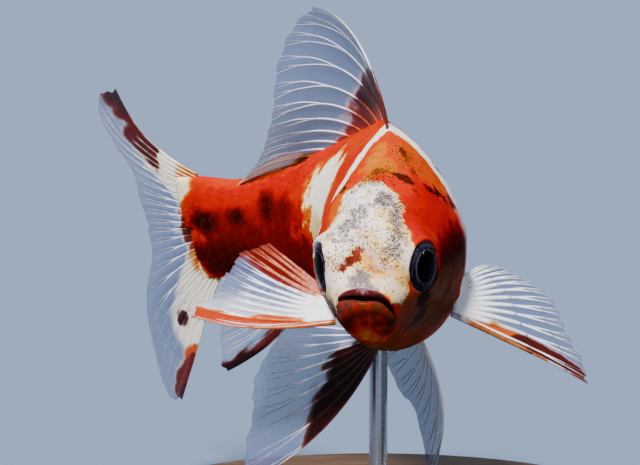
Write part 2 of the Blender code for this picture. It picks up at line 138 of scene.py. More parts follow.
def bell(value, width):
    """exp(-(value / width)^2)."""
    return np.exp(-(value / width) ** 2)


def length(vectors):
    return np.linalg.norm(vectors, axis=-1)


def unit(vectors):
    return vectors / np.maximum(length(vectors), 1e-12)[..., None]


def mottle(p, size, seed, waves=10):
    """Smooth noise of about unit strength: a sum of sines in seeded directions, size apart."""
    draw = np.random.default_rng(seed)
    ways = draw.normal(size=(waves, 3))
    ways *= (draw.uniform(0.6, 1.5, waves) / length(ways))[:, None] * 2 * np.pi / size
    phases = draw.uniform(0, 2 * np.pi, waves)
    total = np.zeros(p.shape[:-1])
    for way, phase in zip(ways, phases):
        total += np.sin(p @ way + phase)
    return total * math.sqrt(2 / waves)


def spine_frames():
    """Stations along the spine, with its points and its backward, left and up directions."""
    along = np.arange(0, SPINE[-1, 0] + 0.5, 0.5)
    heading, pitch, roll = (np.radians(smooth(SPINE[:, 0], SPINE[:, k], along)) for k in (1, 2, 3))
    back = np.stack([-np.sin(heading) * np.cos(pitch), np.cos(heading) * np.cos(pitch), np.sin(pitch)], 1)
    level = np.stack([np.cos(heading), np.sin(heading), 0 * heading], 1)
    upright = np.cross(level, back)
    left = level * np.cos(roll)[:, None] + upright * np.sin(roll)[:, None]
    up = upright * np.cos(roll)[:, None] - level * np.sin(roll)[:, None]
    steps = (back[1:] + back[:-1]) / 2 * 0.5
    points = np.concatenate([np.zeros((1, 3)), np.cumsum(steps, 0)])
    anchor = [np.interp(ROD_ALONG, along, points[:, k]) for k in range(3)]
    return along, points - anchor, back, left, up


SPINE_ALONG, SPINE_POINTS, SPINE_BACK, SPINE_LEFT, SPINE_UP = spine_frames()


def bend(straight):
    """Straight coordinates (along, left, up) to places in metres on the bent fish."""
    p = np.asarray(straight, float)
    along = np.clip(p[..., 0], 0, SPINE_ALONG[-1])

    def at(table):
        return np.stack([np.interp(along, SPINE_ALONG, table[:, k]) for k in range(3)], -1)

    place = at(SPINE_POINTS) + at(SPINE_LEFT) * p[..., 1:2] + at(SPINE_UP) * p[..., 2:3]
    place = place + at(SPINE_BACK) * (p[..., 0] - along)[..., None]
    return place * UNIT + (0, 0, SPINE_HEIGHT)


def body_point(along, around, margin=0.0):
    """A superellipse section: around is 0 on the fish's left, a quarter turn on its back."""
    root = np.sqrt(np.clip(along, 0, None))
    stations = np.sqrt(BODY[:, 0])
    back, belly, level, half, above, below = (smooth(stations, BODY[:, k], root) for k in range(1, 7))
    cosine = np.cos(around)
    sine = np.sin(around)
    power = 2 / np.where(sine >= 0, above, below)
    reach = np.maximum(np.where(sine >= 0, back - level, level - belly) + margin, 0)
    left = np.maximum(half + margin, 0) * np.sign(cosine) * np.abs(cosine) ** power
    up = level + reach * np.sign(sine) * np.abs(sine) ** power
    return np.stack([along + 0 * left, left, up], -1)


def eye_axis(side):
    return np.array((-math.sin(EYE_TURN), side * math.cos(EYE_TURN), 0))


def eye_centre(side):
    return EYE_CENTRE * (1, side, 1)


def off_eye(p, side):
    """How far a point lies along an eye's axis, and how far off it."""
    out = p - eye_centre(side)
    depth = out @ eye_axis(side)
    return depth, length(out - depth[..., None] * eye_axis(side))


def mouth_lines(p):
    """Heights over the mouth's plane, over its slit, and over the upper lip's top edge."""
    above = p[..., 2] - (MOUTH_LEVEL + MOUTH_SLOPE * p[..., 0])
    return above, above - smooth(*SLIT_LINE, p[..., 1]), above - smooth(*LIP_TOP, p[..., 1])


def height_angle(around):
    """Degrees above the widest level, alike on both sides."""
    return np.degrees(np.arcsin(np.sin(around)))


def gill_edge(around):
    """How far back the gill cover reaches at an angle round the body."""
    return smooth(*GILL_EDGE, height_angle(around))


def head_relief(p):
    """Lips rolled forward round the slit, and the head levelled into a rim round each eye."""
    above = mouth_lines(p)[0]
    front = np.clip((5.0 - p[..., 0]) / 2.5, 0, 1) * np.clip((LIP_HALF - np.abs(p[..., 1])) / 1.5, 0, 1)
    lips = 0.75 * bell(above - 1.2, 1.0) + 0.85 * bell(above + 1.4, 1.2)
    relief = unit(p - (7, 0, -4)) * (lips * front)[..., None]
    for side in (1, -1):
        depth, off = off_eye(p, side)
        level = np.minimum(EYE_RIM_DEPTH - depth, EYE_RIM_RISE)
        width = np.where(level < 0, *EYE_RIM_WIDTH)
        hold = (1 - fade(EYE_RIM, EYE_RIM + width, off)) * (depth > -EYE_DEPTH)
        relief = relief + (hold * level)[..., None] * eye_axis(side)
    return p + relief


def skin_relief(p, around):
    """How far the skin's small forms stand out from the body: a sum of bells and folds."""
    _, slit, lip = mouth_lines(p)
    angle = height_angle(around)
    along, left, up = (p[..., k] for k in range(3))
    aside = np.abs(left)
    front = fade(4.6, 2.6, along)
    mouth = front * fade(4.9, 3.9, aside)
    edge = along - gill_edge(around)
    cover = fade(GILL_BOTTOM - 8, GILL_BOTTOM + 8, angle) * fade(GILL_TOP, GILL_TOP - 14, angle)
    ridge = bell(left, 0.9)
    forms = [
        # the mouth's slit and two lips, then creases over them, down from the left corner and under them
        -(0.55 + 0.95 * bell(left + 1.2, 2.2)) * bell(slit, 0.30) * mouth,
        (0.30 * bell(slit - 1.1, 0.8) + 0.25 * bell(slit + 1.0, 0.7)) * mouth,
        -0.32 * bell(lip - 0.25, 0.35) * front * fade(5.6, 4.6, aside),
        -0.35 * bell(left - 4.7, 0.45) * front * fade(0.4, -0.4, slit) * fade(-4, -2, slit),
        -0.25 * bell(slit + 3.4, 0.6) * front * fade(4.5, 3.5, aside),
        # the gill cover's raised rim, the groove behind it, and a crease on the cover
        cover * 0.50 * fade(0.22, -0.22, edge) * bell(np.minimum(edge, 0), 7),
        cover * -0.45 * bell(edge - 0.35, 0.45),
        cover * -0.16 * bell(edge + 9 - 2 * bell(angle + 20, 30), 0.5),
        # low ridges that carry the dorsal, anal and tail fins, and faint waves all over
        0.45 * ridge * (up > 0) * fade(36, 39, along) * fade(79, 75, along),
        0.45 * ridge * (up < 0) * fade(77, 80, along) * fade(90, 87, along),
        0.85 * ridge * (up > 0) * fade(90, 98.5, along),
        0.03 * mottle(p, 3.0, 4),
    ]
    for side in (1, -1):
        nostril = length((p - NOSTRIL * (1, side, 1)) * (1, 0.8, 1))
        depth, off = off_eye(p, side)
        # a nostril with its rim, the roots of the paired fins, and a fold round the eye
        forms += [
            0.32 * bell(nostril - 1.05, 0.38) - 0.75 * bell(nostril, 0.55),
            0.8 * bell(length(p - (30.3, side * 11.4, -10.0)), 2.4),
            0.6 * bell(length(p - (47.5, side * 3.8, -18.9)), 2.4),
            0.34 * bell(off - EYE_RIM - 0.05, 0.36) * (depth > -EYE_DEPTH),
        ]
    # the brow over the right eye
    snoutward = EYE_CENTRE[0] - along
    upward = up - EYE_CENTRE[2]
    brow = 1.1 * fade(0.5, 3, snoutward) * bell(upward - 0.6, 3.6) + 0.25 * fade(1.6, 3.8, upward)
    forms.append(brow * bell(off - EYE_RIM - 0.7, 0.9) * (depth > -EYE_DEPTH))
    return sum(forms)


# Markings. A patch is its value, its centre (along, degrees round the body), its reach each way
# and, where it leans, how many degrees for each unit along. Degrees: 0 is the fish's left, 90 its
# back. Warmth runs from white (0) through cream, gold (0.36), orange, red (0.66) and maroon to 1.
WARM_PATCHES = (
    # right flank: red up to the tail, orange along the stalk's top, and a white saddle
    (0.65, 86, 135, 15, 34), (0.72, 86, 172, 16, 22), (0.82, 86, -150, 17, 34), (0.54, 88, 106, 12, 13),
    (0.47, 84, 96, 4, 9), (0.52, 50, 112, 8, 17), (0.07, 60, 156, 10.5, 32), (0.20, 62, 182, 8, 12),
    # left flank: red shoulder, white patch, red stalk
    (0.66, 50, 20, 9, 34), (0.06, 64, 20, 8.5, 30), (0.65, 84, 40, 12, 40), (0.84, 86, -20, 14, 24),
    # nape: orange round gold
    (0.53, 30.5, 88, 8.5, 46), (0.48, 34, 56, 5, 22), (0.36, 29, 99, 4.6, 15), (0.39, 27, 86, 3, 16),
    (0.44, 31.5, 72, 3.6, 8), (0.43, 22, 132, 4.5, 10),
    # red sides of the head, and the right cheek behind the eye
    (0.64, 20, 47, 10.5, 19, -1.1), (0.66, 23, 40, 7, 20), (0.56, 23.4, 66, 2, 9),
    (0.52, 17, -158, 4.5, 26), (0.78, 20, -170, 3.5, 16),
)
SMUDGE_AND_SHADE_PATCHES = (            # soft: dark smudges on and under the stalk, then on the left cheek dark pigment mixed with painted shade
    (0.96, 98, 168, 2.8, 15), (0.93, 91, 163, 1.9, 12), (0.90, 83.4, 158, 2, 18), (0.82, 79.6, 163, 2.8, 15),
    (0.90, 95, -140, 8, 24), (0.76, 25, 10, 7, 14), (0.90, 25, 2, 10, 18), (0.95, 26.5, 0, 6, 12),
    (0.92, 18, -6, 5.5, 14), (0.97, 15, -30, 5.5, 13), (0.88, 22, -32, 6.5, 16), (0.95, 11.5, -40, 3.2, 10),
)
DARK_PATCHES = (
    # behind the skull, and flecks on the nape
    (0.72, 24.6, 70, 1, 8), (0.48, 23.2, 61, 0.7, 7), (0.50, 24.6, 84, 0.8, 10), (0.38, 22.9, 104, 0.5, 12),
    (0.62, 27, 129, 3.6, 2.6, 0.6), (0.55, 32.8, 69, 0.7, 1.6), (0.50, 31.2, 65, 0.9, 1.6),
    (0.50, 29.6, 61, 0.8, 1.4),
    # streaks over the left gill cover, and below the left eye
    (0.52, 27, 49, 1.4, 2.8), (0.68, 29.6, 43, 2.2, 3.4, -2), (0.72, 32.6, 35, 2.2, 3.6, -2),
    (0.70, 34.4, 27, 2, 6), (0.70, 11.2, -22, 2.6, 9), (0.62, 13.6, -37, 2.2, 8),
    # left flank, the stalk's top and the right cheek
    (0.85, 47, 38, 3.4, 9), (0.90, 52, 8, 4, 10), (0.75, 57, -14, 3.2, 10), (0.85, 77, 42, 3.2, 14),
    (0.88, 90, 28, 3.4, 16), (0.75, 97, -8, 4, 20), (0.80, 84, -24, 4.4, 12), (0.75, 78, 100, 2.6, 5),
    (0.60, 19, -150, 2.4, 12),
)
JAW_SPOTS = (                # on the lips and the chin
    (0.85, 2.6, -128, 1.5, 16), (0.75, 1.7, -95, 0.6, 12), (0.75, 1.9, -66, 0.5, 14),
    (0.85, 3, -38, 1.3, 10), (0.60, 4.6, -56, 1, 8), (0.55, 5.4, -100, 1.2, 9), (0.65, 2, -155, 0.9, 8),
)
SMOKE_PATCHES = (            # the grey tip of the nose, then smudges on the forehead
    (1.00, 2.2, 97, 1.4, 15), (0.90, 1.2, 90, 0.8, 26), (0.80, 1.9, 122, 0.8, 10), (0.90, 17.4, 84, 1.7, 7),
    (0.85, 15.6, 71, 1.6, 4.5), (0.70, 13, 110, 2.4, 11), (0.85, 12.5, 68, 2.6, 6), (0.75, 8.2, 64, 1.7, 7),
    (0.60, 20.6, 100, 1.2, 10), (0.45, 16, 98, 2, 6),
)
SPECKLE_PATCHES = (
    (0.95, 12.8, 109, 3.4, 15), (1.00, 12.3, 69, 3.6, 8), (0.85, 17.6, 82, 2.6, 10),
    (1.00, 21.8, 102, 1.4, 22), (1.00, 18, 71, 5, 4, 1.3), (0.85, 9, 68, 3, 10), (1.00, 5.6, 62, 1.8, 9),
    (0.60, 9, 95, 3, 22), (0.60, 19.5, 118, 3.4, 11), (0.80, 6, 118, 1.8, 26), (0.60, 24, 78, 2.4, 18),
    (0.50, 31, 66, 3, 12),
)
RUST_PATCHES = (             # a rusty wedge over the right nostril
    (0.56, 6.6, 103, 1, 6), (0.70, 6, 112, 0.9, 7, -4), (0.66, 5.2, 126, 0.6, 9, -6),
)
# The white face's lower border by along, and its rear edge by degrees
WHITE_FACE = ((0, 2, 4.5, 6, 8, 10, 12, 14, 16, 18, 20, 22, 23),
              (-20, -8, -3, 6, 30, 50, 57, 61, 64, 67, 70, 76, 84))
FACE_TOP = ((40, 75, 95, 112, 125, 180), (20.8, 21.2, 21.9, 23.4, 24.2, 24.2))
# Where the skin turns white at the tail, by the angle above the widest level
TAIL_FRINGE = ((-90, -63, -43, -20, 34, 45, 60, 90), (100.5, 101.3, 102.4, 105, 102.8, 101.5, 100.6, 100.4))
# The white band behind the head: degrees, front edge, rear edge
WHITE_BAND = np.array([
    (-60, 34, 36), (-20, 36, 41.5), (10, 36, 44), (30, 37, 44.5), (60, 37.9, 44), (90, 37.4, 42),
    (107, 36, 40.8), (120, 33.3, 38.6), (132, 31.2, 36.8), (150, 27.8, 34.8), (180, 27, 34), (220, 29, 33),
])


def within(along, degrees, patch, ragged, soft=0.16):
    """1 well inside a patch and 0 outside; its edge is ragged by that much of its own size."""
    _, at, angle, reach, turn, lean = (*patch, 0)[:6]
    across = (degrees - angle - lean * (along - at) + 180) % 360 - 180
    out = np.hypot((along - at) / reach, across / turn)
    return fade(1 + soft, 1 - soft, out + ragged / min(reach, turn / 5) ** 0.5)


def strongest(along, degrees, patches, ragged, start=0.0, soft=0.16):
    """The largest share of any patch at each point, and at least start."""
    total = start + 0 * along
    for patch in patches:
        total = np.maximum(total, patch[0] * within(along, degrees, patch, ragged, soft))
    return total


def toward(value, goal, share):
    """The value moved to its goal by share, from 0 to 1."""
    return value + (goal - value) * share


def flank_warmth(along, degrees, high, ragged):
    """The patches over the whole body, painted shade on the left cheek among them, a pale belly and tail
    root, and the white band behind the head.

    Returns the warmth and the band's share.
    """
    warm = 0.58 + 0 * along
    for patch in WARM_PATCHES:
        warm = toward(warm, patch[0], within(along, degrees, patch, ragged, 0.24))
    # smudges, and the left cheek's painted shade, only ever darken
    for patch in SMUDGE_AND_SHADE_PATCHES:
        warm = toward(warm, np.maximum(patch[0], warm), within(along, degrees, patch, 0.5 * ragged, 0.55))
    belly = fade(-38, -62, high + 14 * ragged) * fade(27, 38, along) * fade(78, 66, along)
    warm = toward(warm, 0.20, 0.85 * belly)
    fringe = smooth(*TAIL_FRINGE, high)
    warm = toward(warm, 0.13, fade(fringe - 0.9, fringe + 0.9, along + 0.8 * ragged))
    turned = (degrees + 60) % 360 - 60
    front, rear = (smooth(WHITE_BAND[:, 0], WHITE_BAND[:, k], turned) for k in (1, 2))
    white = fade(front - 0.5, front + 0.5, along + ragged) * fade(rear + 0.8, rear - 0.8, along + ragged)
    white = white * fade(225, 205, turned) * fade(-60, -40, turned)
    return toward(warm, 0.02, white), white


def face_warmth(p, degrees, ragged, warm):
    """The white face over the warmth, shaded with cream and gold, with a red socket round the lower
    half of the right eye and rust over the right nostril.

    Returns the warmth and the shares of the face and the rust.
    """
    along, left, up = (p[..., k] for k in range(3))
    border = smooth(*WHITE_FACE, along)
    turned = (degrees + 100) % 360 - 100
    top = smooth(*FACE_TOP, turned)
    face = fade(border - 2, border + 2, turned - 9 * ragged)
    face = face * fade(top + 0.6, top - 0.6, along + 1.2 * ragged)
    face = face * (1 - fade(122, 132, turned + 6 * ragged) * fade(15, 20, along))
    face = face * fade(215, 200, turned + 8 * ragged) * (1 - fade(165, 180, turned) * fade(12, 15, along))
    cream = 0.02 + 0.08 * bell(turned - 76, 30) + 0.15 * bell(along - 4.5, 5) * bell(turned - 96, 62)
    cream = cream + 0.10 * fade(0.1, 1.2, mottle(p, 5.0, 31))
    cream = cream + 0.10 * bell(along - 6, 1.8) * bell(turned - 81, 10)
    cream = cream + 0.15 * fade(60, 10, turned) + 0.08 * fade(140, 175, turned) * fade(12, 5, along)
    warm = toward(warm, cream, face)
    socket = fade(0.55, 0.25, off_eye(p, -1)[1] - EYE_RIM + 0.3 * ragged)
    socket = socket * (left < 0) * fade(1.5, -0.5, up - EYE_CENTRE[2])
    warm = toward(warm, 0.66, socket)
    rust = 0 * warm
    for patch in RUST_PATCHES:
        share = within(along, degrees, patch, 1.8 * ragged, 0.40)
        warm = toward(warm, patch[0], share)
        rust = np.maximum(rust, share)
    return warm, face, rust


def jaw_warmth(p, degrees, high, ragged, near, warm):
    """Brown lower cheeks, maroon lips and a red-orange chin over the warmth.

    Returns the warmth and the shares of the upper lip, the chin and brown.
    """
    along, left, _ = (p[..., k] for k in range(3))
    aside = np.abs(left)
    lower = fade(7, -11, high + 8 * ragged) * fade(2.5, 4.5, along) * fade(36, 26, along)
    warm = toward(warm, 0.46, lower * fade(-60, -82, high))
    _, slit, lip_top = mouth_lines(p)
    lip = fade(0.45, -0.55, lip_top + 0.5 * ragged) * fade(-0.15, 0.10, slit) * near * fade(5.0, 4.6, aside)
    chin = fade(0.10, -0.15, slit) * fade(8.5, 6.0, along + 1.8 * ragged)
    chin = chin * fade(5.2, 4.6, aside + 0.5 * ragged)
    bright = bell(slit + 4.2, 2.4) * bell(left + 0.2, 3.2)
    spots = strongest(along, degrees, JAW_SPOTS, 1.2 * ragged, soft=0.6)
    warm = toward(warm, 0.84 + 0.10 * fade(1.2, 3.5, left) + 0.12 * ragged, lip)
    warm = toward(warm, 0.71 - 0.17 * bright + 0.30 * ragged + 0.36 * spots * (1 - 0.6 * bright), chin)
    brown = lower * (0.90 + 0.25 * ragged) * (1 - lip) * (1 - chin)
    return warm, lip, chin, brown + (0.50 + 0.6 * ragged) * chin * (1 - bright)


def markings(p, around):
    """Warmth and darkness, both with some painted shade, speckle and smoke, and brown, pink with painted
    sheen, and fraying, at points of the body.
    """
    along, left, _ = (p[..., k] for k in range(3))
    degrees = np.degrees(around)
    high = height_angle(around)
    ragged = 0.22 * mottle(p, 5.0, 11) + 0.16 * mottle(p, 2.2, 12) + 0.12 * mottle(p, 0.9, 13)
    near = fade(5.8, 4.6, along + 1.2 * ragged)
    warm, white = flank_warmth(along, degrees, high, ragged)
    warm, face, rust = face_warmth(p, degrees, ragged, warm)
    frayed = np.maximum(4 * face * (1 - face) * fade(4, 7, along), rust)
    warm, lip, chin, brown = jaw_warmth(p, degrees, high, ragged, near, warm)
    brown = np.maximum(brown, 0.65 * rust)

    # pink, with painted light: a painted highlight along the upper lip's top edge, pink in the band on the
    # right flank, a painted sheen on the left flank behind the gill cover, pink mottling on the face
    _, slit, lip_top = mouth_lines(p)
    rim = fade(33, 36, along) * fade(-40, -20, high) * fade(40, 15, high) * fade(0, 4, left)
    pink_and_sheen = np.maximum.reduce([
        bell(lip_top - 0.15, 0.45) * near * fade(4.4, 2.0, np.abs(left + 1)),
        0.8 * white * fade(145, 165, (degrees + 360) % 360),
        0.65 * rim,
        0.42 * face * fade(0.2, 1.3, mottle(p, 4.0, 32)) * (1 - lip) * (1 - chin) * (1 - rust),
    ])
    # dark: the patches, painted shade in the mouth's slit, in the crease at its left corner and on the upper
    # lip beside the slit, and the rust
    slit_ends = fade(-3.4, -2.2, left) * fade(4.6, 4.2, left) * (0.55 + 0.45 * fade(2.4, 0.6, left))
    dark = np.maximum.reduce([
        strongest(along, degrees, DARK_PATCHES, 1.6 * ragged),
        bell(slit - 0.02, 0.34) * near * slit_ends,
        0.85 * bell(left - 4.45, 0.42) * near * fade(0.6, 0.0, slit) * fade(-3.6, -1.4, slit),
        0.50 * lip * bell(slit - 0.9, 0.8) * bell(left - 2.8, 1.5),
        0.40 * rust * (0.6 + ragged),
    ])
    smoke = strongest(along, degrees, SMOKE_PATCHES, 1.8 * ragged, 0.05 * face, 0.45)
    smoke = np.maximum(smoke, 0.8 * bell(lip_top - 0.45, 0.5) * bell(left + 1.2, 1.9) * near)
    speckle = strongest(along, degrees, SPECKLE_PATCHES, 1.6 * ragged, 0.015 + 0.135 * face, 0.35)
    speckle = speckle * (1 - lip) * (1 - 0.6 * chin)
    pigment = np.stack([np.clip(warm, 0, 1), np.clip(dark, 0, 1), speckle, smoke], -1)
    tint = np.stack([np.clip(brown, 0, 1), pink_and_sheen, np.clip(frayed, 0, 1), 0 * pink_and_sheen], -1)
    return {"pigment": pigment, "tint": tint}


# Meshes
def grid_faces(rows, columns, closed):
    """Quads between neighbouring rows; a closed grid also joins the last column to the first."""
    last = columns if closed else columns - 1
    row, column = np.meshgrid(np.arange(rows - 1), np.arange(last), indexing="ij")
    here = (row * columns + column).ravel()
    beside = (row * columns + (column + 1) % columns).ravel()
    return np.stack([here, here + columns, beside + columns, beside], 1)


def capped_faces(rows, columns):
    """Faces over closed rings, with a fan at either end round two points that follow the rings."""
    end = rows * columns
    ring = np.arange(columns)
    beside = (ring + 1) % columns
    faces = grid_faces(rows, columns, True).tolist()
    faces += [(end, a, b) for a, b in zip(ring, beside)]
    faces += [(end + 1, end - columns + b, end - columns + a) for a, b in zip(ring, beside)]
    return faces


def turned_over(faces):
    return [face[::-1] for face in faces]


def make_piece(name, points, faces, finish, replaces=(), attributes=None):
    """A mesh object at the origin that rides on the model, with point colours from attributes."""
    mesh = bpy.data.meshes.new(name)
    mesh.from_pydata(np.reshape(points, (-1, 3)).tolist(), [], [list(map(int, face)) for face in faces])
    for key, values in (attributes or {}).items():
        colours = mesh.attributes.new(key, "FLOAT_COLOR", "POINT")
        colours.data.foreach_set("color", np.asarray(values, np.float32).ravel())
    mesh.shade_smooth()
    mesh.materials.append(finish)
    piece = bpy.data.objects.new(name, mesh)
    bpy.context.scene.collection.objects.link(piece)
    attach(piece, BODY_NAME)
    if replaces:
        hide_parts(*replaces)
    return piece


def grid_normals(points, closed):
    """Unit normals of a grid of points, from the cross product of its two differences."""
    if closed:
        across = np.roll(points, -1, 1) - np.roll(points, 1, 1)
    else:
        across = np.gradient(points, axis=1)
    return unit(np.cross(across, np.gradient(points, axis=0)))


# Finishes
class Value:
    """A shader socket that takes part in sums, on either side of the sign."""

    def __init__(self, finish, socket):
        self.finish = finish
        self.socket = socket

    def math(self, operation, *terms, clamp=False):
        return self.finish.node("Math", {"operation": operation, "use_clamp": clamp}, dict(enumerate(terms)))

    def __add__(self, other):
        return self.math("ADD", self, other)

    def __sub__(self, other):
        return self.math("SUBTRACT", self, other)

    def __rsub__(self, other):
        return self.math("SUBTRACT", other, self)

    def __mul__(self, other):
        return self.math("MULTIPLY", self, other)

    __radd__ = __add__
    __rmul__ = __mul__

    def __gt__(self, other):
        return self.math("GREATER_THAN", self, other)

    def clamped(self):
        return self.math("ADD", self, 0.0, clamp=True)

    def between(self, low, high):
        """0 at low and 1 at high, with level ends."""
        return self.finish.node("MapRange", {"interpolation_type": "SMOOTHSTEP"},
                                {"Value": self, "From Min": low, "From Max": high})

    def beside(self, output):
        """Another output of the same node."""
        return Value(self.finish, self.socket.node.outputs[output])


class Finish:
    """A material being made: nodes are added by one method and feed the Principled shader."""

    def __init__(self, name, **constants):
        self.material = bpy.data.materials.new(name)
        self.material.use_nodes = True
        self.tree = self.material.node_tree
        self.shader = self.tree.nodes["Principled BSDF"]
        self.feed(**constants)

    def node(self, kind, settings, inputs, output=0):
        """One node: settings are set first, then the values or links of its sockets."""
        node = self.tree.nodes.new("ShaderNode" + kind)
        for key, value in settings.items():
            setattr(node, key, value)
        for key, value in inputs.items():
            self.put(node.inputs[key], value)
        return Value(self, node.outputs[output])

    def put(self, socket, value):
        if isinstance(value, Value):
            self.tree.links.new(value.socket, socket)
        else:
            socket.default_value = value

    def feed(self, **values):
        """Links or sets the Principled shader's own sockets."""
        for key, value in values.items():
            self.put(self.shader.inputs[key.replace("_", " ")], value)

    def place(self, **mapping):
        """Object coordinates, stretched by a mapping's Scale where one is given."""
        place = self.node("TexCoord", {}, {}, "Object")
        return self.node("Mapping", {}, {"Vector": place, **mapping}) if mapping else place

    def attribute(self, name):
        """The three colour channels and the alpha of a point attribute."""
        colour = self.node("Attribute", {"attribute_name": name}, {}, "Color")
        red = self.node("SeparateColor", {}, {"Color": colour})
        return red, red.beside(1), red.beside(2), colour.beside("Alpha")

    def noise(self, size, detail=3.0, roughness=0.6, place=None, distortion=0.0):
        """Soft noise whose spots are about size across, in metres."""
        return self.node("TexNoise", {}, {"Vector": place or self.place(), "Scale": 1 / size,
                                          "Detail": detail, "Roughness": roughness, "Distortion": distortion})

    def ramp(self, stops, share):
        """A colour read from stops of (share, colour)."""
        colour = self.node("ValToRGB", {}, {"Fac": share})
        marks = colour.socket.node.color_ramp.elements
        while len(marks) < len(stops):
            marks.new(0.5)
        for mark, (at, tone) in zip(marks, stops):
            mark.position = at
            mark.color = (*tone, 1)
        return colour

    def mix(self, share, first, second):
        """Colours first to second by share; a colour is three numbers or a link."""
        ends = [colour if isinstance(colour, Value) else (*colour, 1) for colour in (first, second)]
        return self.node("Mix", {"data_type": "RGBA"}, {0: share, 6: ends[0], 7: ends[1]}, 2)

    def stained(self, colour, dark):
        """A colour turned maroon by half of dark, and near black by the rest."""
        maroon = self.mix(dark.between(0.10, 0.55), colour, (0.085, 0.006, 0.003))
        return self.mix(dark.between(0.50, 1.0), maroon, (0.010, 0.002, 0.002))

    def bump(self, height, distance):
        return self.node("Bump", {}, {"Height": height, "Distance": distance, "Strength": 1.0})


SKIN_STOPS = (
    (0.00, (0.90, 0.87, 0.89)), (0.12, (0.86, 0.70, 0.52)), (0.24, (0.78, 0.46, 0.11)),
    (0.36, (0.43, 0.108, 0)), (0.46, (0.50, 0.054, 0)), (0.56, (0.46, 0.015, 0)), (0.66, (0.35, 0, 0)),
    (0.76, (0.16, 0, 0)), (0.88, (0.045, 0, 0)), (1.00, (0.006, 0, 0)),
)
# near black for dark pigment and for painted shade round the mouth
INK_AND_SHADE = (0.006, 0.001, 0.001)
SMOKE = (0.17, 0.125, 0.14)
BROWN = (0.080, 0.019, 0.004)
# pink, also the colour of the painted sheen and highlight
PINK_AND_SHEEN = (0.60, 0.42, 0.50)
DOT = (0.030, 0.012, 0.008)


def skin_finish(name, grain):
    """Wet nacreous skin: the warmth ramp and tints, darker patches with frayed edges, painted shade round the
    mouth and along the scales' free edges, and fine dots.
    """
    finish = Finish(name, Specular_IOR_Level=0.0, Coat_Weight=0.05, Coat_Roughness=0.20,
                    Subsurface_Weight=0.03, Subsurface_Radius=(0.8, 0.35, 0.2), Subsurface_Scale=0.0010)
    place = finish.place()
    warm, dark, speckle, smoke = finish.attribute("pigment")
    brown, pink_and_sheen, frayed, edge = finish.attribute("tint")
    fine = finish.noise(0.0005, 4.0, 0.65, place)
    broad = finish.noise(0.004, 3.0, 0.55, place)
    warm = warm + (fine - 0.5) * (0.9 * frayed + 0.09) + (broad - 0.5) * 0.08
    colour = finish.ramp(SKIN_STOPS, warm.clamped())
    colour = finish.mix((brown * (broad * 0.7 + 0.60)).clamped(), colour, BROWN)
    # pink, and the painted sheen and highlight in the same colour
    colour = finish.mix((pink_and_sheen * (fine + 0.4)).clamped(), colour, PINK_AND_SHEEN)
    colour = finish.mix((smoke * (fine * 0.9 + 0.50)).clamped(), colour, SMOKE)
    # painted shade along the scales' free rear edges, in brown
    colour = finish.mix(edge * 0.26, colour, BROWN)
    # near black over the dark patches, and painted shade round the mouth
    ink_and_shade = (dark + (fine - 0.5) * 0.60 + (broad - 0.5) * 0.30).between(0.18, 0.82)
    colour = finish.mix(ink_and_shade * 0.96, colour, INK_AND_SHADE)
    for size, seed, limit in ((0.00022, (0, 0, 0), 0.90), (0.00034, (3, 1, 2), 0.55)):
        moved = finish.node("VectorMath", {"operation": "ADD"}, {0: place, 1: seed})
        cells = finish.node("TexVoronoi", {}, {"Vector": moved, "Scale": 1 / size})
        tint = finish.node("SeparateColor", {}, {"Color": cells.beside("Color")})
        dots = (tint > 1.0 - speckle * limit) * (0.55 - cells).between(0.0, 0.16)
        colour = finish.mix(dots * 0.85, colour, DOT)
    finish.feed(Base_Color=colour, Roughness=0.26 + 0.16 * fine)
    finish.feed(Normal=finish.bump(fine * 0.5 + broad * 0.5, grain))
    return finish.material


FIN_STOPS = (
    (0.00, (0.86, 0.86, 0.90)), (0.14, (0.84, 0.74, 0.58)), (0.30, (0.62, 0.28, 0.05)),
    (0.46, (0.46, 0.085, 0)), (0.60, (0.36, 0.014, 0)), (0.70, (0.22, 0.002, 0)),
    (0.84, (0.070, 0.001, 0)), (1.00, (0.008, 0.001, 0.001)),
)
PEARL = (0.84, 0.85, 0.92)
FILM = (0.090, 0.115, 0.25)


def fin_membrane_finish():
    """Clear skin between the rays: a faint slate-blue film, pearly where thick, with pigment over it."""
    finish = Finish("fin membrane", Roughness=0.30, Specular_IOR_Level=0.15)
    hue, strength, cover, dark = finish.attribute("pigment")
    fine = finish.noise(0.0006)
    pigment = finish.ramp(FIN_STOPS, (hue * 1.10 + (fine - 0.5) * 0.14).clamped())
    colour = finish.mix(cover.between(0.45, 0.92), FILM, PEARL)
    colour = finish.mix((strength + (fine - 0.5) * 0.35).between(0.10, 0.70), colour, pigment)
    colour = finish.stained(colour, dark + (fine - 0.5) * 0.30)
    finish.feed(Base_Color=colour, Alpha=(cover + (fine - 0.5) * 0.10).clamped())
    finish.feed(Normal=finish.bump(fine, 0.00006))
    return finish.material


def fin_ray_finish():
    """Pearly white rays, stained where the skin round them is."""
    finish = Finish("fin rays", Roughness=0.25, Specular_IOR_Level=0.35)
    hue, strength, cover, dark = finish.attribute("pigment")
    fine = finish.noise(0.0008)
    pigment = finish.ramp(FIN_STOPS, (hue * 0.88 + (fine - 0.5) * 0.14).clamped())
    colour = finish.mix(fine.between(0.40, 0.75) * 0.3, (0.88, 0.88, 0.93), (0.42, 0.40, 0.46))
    colour = finish.mix((strength + (fine - 0.5) * 0.35).between(0.15, 0.95), colour, pigment)
    colour = finish.stained(colour, dark * 0.62 + (fine - 0.5) * 0.25)
    finish.feed(Base_Color=colour, Alpha=cover, Normal=finish.bump(fine, 0.00004))
    return finish.material


